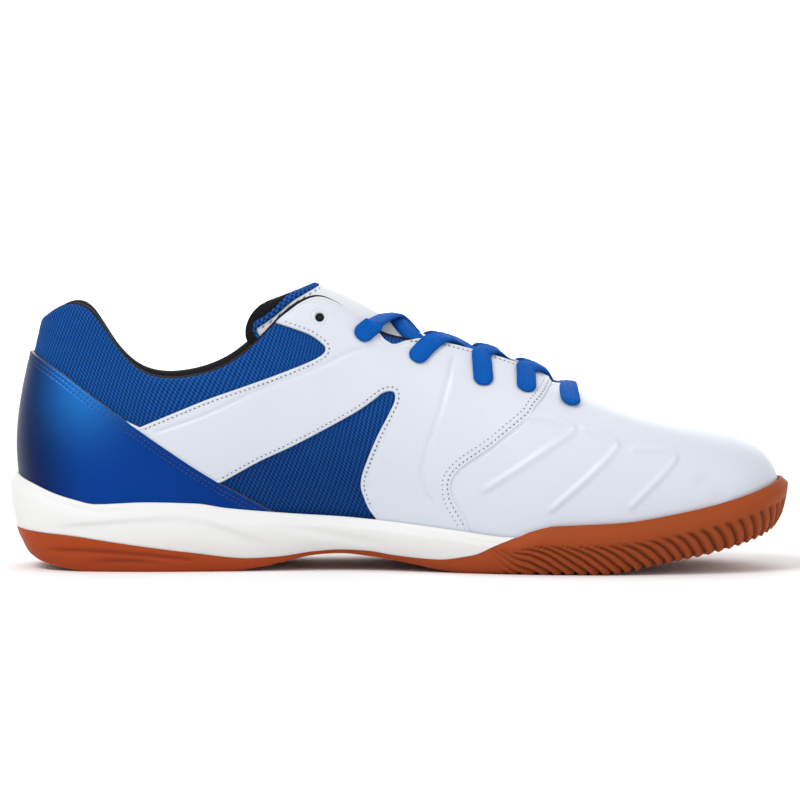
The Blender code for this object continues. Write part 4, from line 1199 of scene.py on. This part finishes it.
# Rows up the tongue: its middle's place and height, then its side's place, half width and height
tongueSizes = [shoe[size] for size in ("length", "instepHeight", "length", "ballWidth", "instepHeight")]
tongueRows = (
    (0.750, 0.553, 0.742, 0.100, 0.547),
    (0.725, 0.562, 0.718, 0.110, 0.556),
    (0.650, 0.705, 0.642, 0.180, 0.662),
    (0.590, 0.768, 0.580, 0.212, 0.693),
    (0.540, 0.826, 0.525, 0.222, 0.705),
    (0.490, 0.890, 0.440, 0.220, 0.715),
    (0.445, 0.957, 0.360, 0.210, 0.740),
    (0.410, 1.000, 0.310, 0.187, 0.810),
    (0.386, 1.024, 0.294, 0.172, 0.915),
)


def tongueFinish():
    # white face with a row of dark needle-hole dots as painted shade, blue mesh binding round the top, dark sides
    # and back
    cloth = Finish("tongue padding", Roughness=0.5, Specular_IOR_Level=0.2)
    edge = cloth.mark("edge")
    u, v, _ = cloth.split(cloth.map())
    high = cloth.step(0.45, 0.55, cloth.mark("rise"))
    wide = 1000 * tongue["binding"]
    binding = (1 - cloth.step(wide - 0.1, wide + 0.1, edge)) * high
    outside = 1 - (1 - cloth.step(-0.1, 0.1, edge)) * high
    back = 1 - cloth.step(0.20, 0.28, cloth.mark("front")) * outside
    thread = cloth.step(-0.45, 0.45, meshWeave(cloth, cloth.map(), tongue["weave"]))
    grain = cloth.noise(1300.0)
    # painted shade: dark dots along a row, where the needle-hole shade is
    row = cloth.bell(edge - 1000 * tongue["holesIn"], 0.35)
    holeShade = row * cloth.step(0.35, 0.7, cloth.wave(u - v, 2 * tongue["weave"]))
    white = cloth.blend(cloth.noise(25.0) * 0.5, screen(222, 224, 228), screen(208, 212, 219))
    white = cloth.blend(holeShade, white, screen(70, 64, 64))
    blue = cloth.blend(thread, screen(2, 38, 96), screen(14, 94, 178))
    cloth.set(Base_Color=cloth.blend(back, cloth.blend(binding, white, blue), darkCloth(cloth, grain)))
    cloth.set(Roughness=0.4 + 0.3 * binding + 0.2 * back + 0.08 * grain)
    cloth.bump(grain * 0.04 + binding * thread * 0.2 - holeShade * 0.2)
    return cloth


def makeTongue():
    # rows of flat ovals: across by the sine of the turn, thick by its cosine, with a rounded top end
    table = smoothPath(tongueRows, tongue["rows"]) * tongueSizes
    mid = np.column_stack((table[:, 0], 0 * table[:, 0], table[:, 1]))
    side = table[:, 2:5]
    turn = np.linspace(0.0, 2.0 * np.pi, tongue["around"], endpoint=False)
    columns = tongue["faceColumns"]
    line = np.linspace(-1.0, 1.0, columns + 1)
    face = mid[:, None] + (side - mid)[:, None] * np.abs(line)[None, :, None] ** 2.0
    face[:, :, 1] = side[:, None, 1] * line[None]
    normals = unit(np.cross(np.gradient(face, axis=1), np.gradient(face, axis=0)))
    normals *= np.sign(normals[:, columns // 2, None, 2:3])
    reached = runAlong(mid)
    toTop = reached[-1] - reached
    corner, width = tongue["corner"], np.linalg.norm(side - mid, axis=1)[:, None]
    taken = (corner - np.sqrt(corner**2 - np.clip(corner - toTop, 0.0, corner) ** 2))[:, None] / width
    across = np.sin(turn)[None, :] * (1.0 - taken)
    where = (across + 1.0) * (columns // 2)
    index = np.minimum(where.astype(int), columns - 1)
    share = (where - index)[:, :, None]
    row = np.arange(len(mid))[:, None]
    spot, facing = (grid[row, index] * (1 - share) + grid[row, index + 1] * share for grid in (face, normals))
    full = shoe["tongueThickness"] * (1.0 - 0.12 * np.abs(across) ** 3)
    ends = np.sqrt(1.0 - (1.0 - np.clip(toTop / tongue["endRound"], 0.0, 1.0)) ** 2)[:, None]
    lens = np.sign(np.cos(turn)) * np.abs(np.cos(turn)) ** 0.6
    drop = (side - mid) * [1.0, 0.0, 1.0]
    steep = np.sqrt(side[:, 1] ** 2 + 4.0 * (drop**2).sum(axis=1))[:, None]
    toEdge = np.minimum((1.0 - taken - np.abs(across)) * steep, toTop[:, None])
    high = smoothStep(0.0, 0.03, reached[-1] * 0.55 - toTop)[:, None]
    beside = smoothStep(0.55, 0.88, np.abs(across) / np.abs(across).max(axis=1)[:, None])
    toEdge = (toEdge - tongue["rim"] * beside) / (1.0 - 0.5 * beside)
    past, fine = toEdge - tongue["binding"], 0.0004
    swell = 0.0005 * (1.0 - smoothStep(-fine, fine, past))
    swell = swell - 0.0003 * bell(toEdge, fine) - 0.0004 * bell(past, fine)
    offset = 0.5 * full * (lens[None, :] * ends - 1.0) + swell * high * (lens > 0)[None, :] * ends
    points = spot + facing * offset[:, :, None]
    u = np.append(turn, 2 * np.pi)[None, :] / np.pi * tongue["mapWidth"]
    first, last = points[0].mean(axis=0), points[-1].mean(axis=0)
    front, rise = np.broadcast_to(np.cos(turn), toEdge.shape), np.broadcast_to(high, toEdge.shape)
    marks = {
        "edge": np.append(toEdge.ravel(), (0.0, 0.0)) * 1000.0,
        "front": np.append(front.ravel(), (0.0, 0.0)), "rise": np.append(rise.ravel(), (0.0, 1.0)),
    }
    made = addMesh(
        "tonguePad", np.vstack((points.reshape(-1, 3), first, last)), tubeFaces(*points.shape[:2]), marks,
        tubeMap(u, reached[:, None], len(turn)),
    )
    mendMesh(made)
    dress(made, tongueFinish(), "tongue_padding", "tongue")


makeTongue()
print("tongue: padded, bound and lined")


# The insole, and its rim from the bottom up: shares of the thickness, and metres further in
insoleRim = (
    (0.0, 0.0), (0.5, 0.0), (0.75, 0.0002), (0.9, 0.0007), (1.0, 0.0016), (0.97, 0.003), (0.9, 0.006),
    (0.85, 0.010),
)


def insoleFinish():  # dark cloth in plain weave: the product of two slanted cosines
    cloth = Finish("insole cloth", Roughness=0.9, Sheen_Weight=0.2)
    x, y, _ = cloth.split(cloth.place())
    weave = cloth.wave(x + y, 0.0011) * cloth.wave(x - y, 0.0011)
    cloth.set(Base_Color=cloth.blend(cloth.noise(60.0), screen(28, 28, 33), screen(42, 42, 48)))
    cloth.bump(weave * 0.08 + cloth.noise(900.0) * 0.05)
    return cloth


def makeInsole():  # the sock liner: an edge up its thickness, rounded in to a shallow dish
    places = pairedPlaces(rowsAt(np.linspace(0.0, toePlace, 140)))
    foot, outward, *_ = planAt(places)
    inset = shellInset + shoe["wall"] + 4 * shoe["gap"]
    loops = []
    for part, more in insoleRim:
        edge = foot - outward * (inset + more)
        base = sideHeight(floorLine, edge[:, 0]) + shoe["gap"]
        loops.append(edge + upward * (base + part * shoe["insoleThickness"])[:, None])
    points = np.array(loops)
    count = len(places)
    faces = [gridFaces(len(points), count, False, True)] + [g[:, ::-1] for g in capFaces(0, count)]
    faces += capFaces((len(points) - 1) * count, count)
    made = addMesh("insoleCloth", points.reshape(-1, 3), faces)
    mendMesh(made, sameSpot)
    dress(made, insoleFinish(), "insole_cloth", "insole")


makeInsole()
print("insole: cloth")

# Laces: flat oval cords through the eyelets, over the throat and under the far edge
lace = {
    "stations": 112, "around": 40, "ribs": 7, "ribDepth": 0.00014, "cross": 0.0013, "sink": 0.0008,
    "end": 0.0030, "round": 0.0036, "plug": 0.0026, "plugDown": 0.0024, "plugRows": 8, "mapWidth": 2.3,
}
# For each crossing: how far on it is at the near edge, at the middle and where it goes under the far edge, as
# shares of the distance to the next eyelet
laceLean = ((0.24, 0.58, 1.16), (0.40, 0.66, 0.95), (0.18, 0.50, 0.84), (0.34, 0.60, 0.84))


def laceFinish():  # woven polyester: the product of two slanted cosines, with fine fuzz
    cord = Finish("blue lace", Roughness=0.7, Specular_IOR_Level=0.08)
    u, v, _ = cord.split(cord.map())
    weave = cord.wave(u + v, 0.0011) * cord.wave(u - v, 0.0011)
    fuzz = cord.noise(2400.0, detail=2.0)
    tone = cord.blend(cord.step(-0.4, 0.6, weave), screen(2, 72, 158), screen(6, 104, 196))
    cord.set(Base_Color=cord.blend(fuzz * 0.4, tone, screen(4, 88, 178)))
    cord.bump(weave * 0.12 + fuzz * 0.06)
    return cord


def throatLine(x):  # half width and height of the throat's edge at x
    inner = ring[: toeRow + 1]
    return np.interp(x, inner[:, 2], -inner[:, 3]), np.interp(x, inner[:, 2], inner[:, 4])


def onTongue(x, y, lift):
    # a point over the tongue's face: the middle's height, less by the square of the way out to its side
    middleX, middleZ, sideX, sideY, sideZ = (np.array(tongueRows)[::-1] * tongueSizes).T
    out = (y / np.interp(x, middleX, sideY)) ** 2
    row = x + out * (x - np.interp(x, middleX, sideX))
    high, low = np.interp(row, middleX, middleZ), np.interp(row, middleX, sideZ)
    return np.array([x, y, high - (high - low) * out + 0.5 * shoe["laceThickness"] + lift])


def cordGrid(places, outward, widths, thick):
    # an oval with fine ribs carried along a path: across by the cosine of the turn, up by its sine
    tangents = unit(np.gradient(places, axis=0))
    across = unit(np.cross(outward, tangents))
    up = np.cross(tangents, across)
    turn = np.linspace(0.0, 2.0 * np.pi, lace["around"], endpoint=False)
    c, s = np.cos(turn), np.sin(turn)
    wide = np.sign(c) * np.abs(c) ** 0.85
    high = np.sign(s) * np.abs(s) ** 0.75
    rib = lace["ribDepth"] * np.cos(lace["ribs"] * np.pi * wide) * np.abs(s)
    rib = rib * smoothStep(0.5, 1.0, widths / shoe["laceWidth"])[:, None]
    return (
        places[:, None] + across[:, None] * (widths[:, None] / 2 * wide)[:, :, None]
        + up[:, None] * (thick[:, None] / 2 * high + rib * np.sign(s))[:, :, None]
    )


def cordMesh(name, grids, node):
    points, faces, uvs, start = [], [], [], 0
    for grid in grids:
        rows, around = grid.shape[:2]
        u = np.linspace(0.0, lace["mapWidth"] * shoe["laceWidth"], around + 1)[None, :]
        points += [grid.reshape(-1, 3), grid[0].mean(axis=0)[None], grid[-1].mean(axis=0)[None]]
        faces += tubeFaces(rows, around, start)
        uvs.append(tubeMap(u, runAlong(grid.mean(axis=1))[:, None], around))
        start += rows * around + 2
    made = addMesh(name, np.vstack(points), faces, None, np.vstack(uvs))
    mendMesh(made)
    dress(made, laceFinish(), "blue_lace", node)


def laceEnd(hole, facing, ahead):
    # the cord's rounded end lies over its hole: it starts on the panel behind the hole and rises to full height
    travel = ahead - hole
    travel = unit(travel - facing * np.dot(travel, facing))
    high = shoe["overlay"] + shoe["laceThickness"] * 0.5
    return [
        (hole - travel * lace["end"] + facing * shoe["overlay"], facing * 0.8 - travel * 0.6),
        (hole - travel * 0.35 * lace["end"] + facing * high * 0.93, facing * 0.97 - travel * 0.25),
    ]


def laceShape(fromEnd):  # widths and thicknesses from a point to the full cord, on quarter ellipses
    share = np.clip(fromEnd / lace["round"], 0.0, 1.0)
    full = np.sqrt(np.maximum(1.0 - (1.0 - share) ** 2, 0.0004))
    return shoe["laceWidth"] * full, shoe["laceThickness"] * np.sqrt(full)


def plugGrid(hole, facing):  # the round part of a lace that goes down through its hole
    count, size = lace["plugRows"], np.full(lace["plugRows"], lace["plug"])
    places = hole + np.linspace(-lace["plugDown"], shoe["overlay"] + 0.0008, count)[:, None] * facing
    return cordGrid(places, np.tile(np.cross(facing, (0.0, 1.0, 0.0)), (count, 1)), size, size)


def routeGrid(route, bothEnds=False):
    # the oval along a smooth route of points and outward directions, rounded at its first end or at both
    places, outward = (smoothPath([stop[i] for stop in route], lace["stations"]) for i in (0, 1))
    reached = runAlong(places)
    fromEnd = np.minimum(reached, reached[-1] - reached) if bothEnds else reached
    return cordGrid(places, outward, *laceShape(fromEnd))


def strandGrids(number, side):
    # out of the eyelet, up over the edge, across the tongue towards the toe, and down inside the far edge
    p, q = (values[number] for values in eyeletSpots[side])
    x0, x1 = (eyelets[i][0] * shoe["length"] for i in (number, number + 1))
    lean, half, reach = (x0 + share * (x1 - x0) for share in laceLean[number - 1])
    hole, facing = spotAt(p, q)
    climb = []
    for share in (0.40, 0.80):
        spot, up = spotAt(p - side * share * (lean - x0), q + share * (1.0 - q))
        climb.append((spot + up * (shoe["overlay"] + shoe["laceThickness"] * 0.5), up))
    route = laceEnd(hole, facing, climb[0][0]) + climb
    wide, high = throatLine(lean)
    route.append((np.array([lean, side * (wide - 0.0015), high + 0.0018]), np.array([0.0, side * 0.35, 0.94])))
    over = lace["cross"] if (side < 0) == (number % 2 == 1) else 0.0
    route.append((onTongue(half, 0.0, over - lace["sink"]), upward))
    for x, out, lift, tilt in (
        (half + 0.60 * (reach - half), -0.0060, 0.0, (0.35, 0.94)),
        (reach, -0.0015, -0.0004, (0.50, 0.87)), (reach, 0.0025, -0.0008, (0.65, 0.75)),
    ):
        wide, _ = throatLine(x)
        route.append((onTongue(x, -side * (wide + out), lift), np.array([0.0, -side * tilt[0], tilt[1]])))
    return [routeGrid(route), plugGrid(hole, facing)]


def makeLaces():  # four crossings of two strands, and a bar that arches from hole to hole over the throat
    for number in range(1, 5):
        grids = strandGrids(number, -1.0) + strandGrids(number, 1.0)
        cordMesh(f"laceCrossing{number}", grids, f"lace_crossing_{number}")
    ends = [spotAt(*(values[5] for values in eyeletSpots[side])) for side in (-1.0, 1.0)]
    crest = 0.5 * (ends[0][0] + ends[1][0])
    crest[2] = throatLine(crest[0])[1] + shoe["overlay"] + 0.45 * shoe["laceThickness"]
    shoulders = [
        (crest + 0.55 * (hole - crest) * [1, 1, 0.3], facing * 0.35 + upward * 0.65) for hole, facing in ends
    ]
    first, last = (laceEnd(*end, shoulder[0]) for end, shoulder in zip(ends, shoulders))
    bar = routeGrid(first + [shoulders[0], (crest, upward), shoulders[1]] + last[::-1], True)
    cordMesh("laceBar", [bar] + [plugGrid(*end) for end in ends], "lace_bar")


makeLaces()
print("laces: four crossings and a bar")
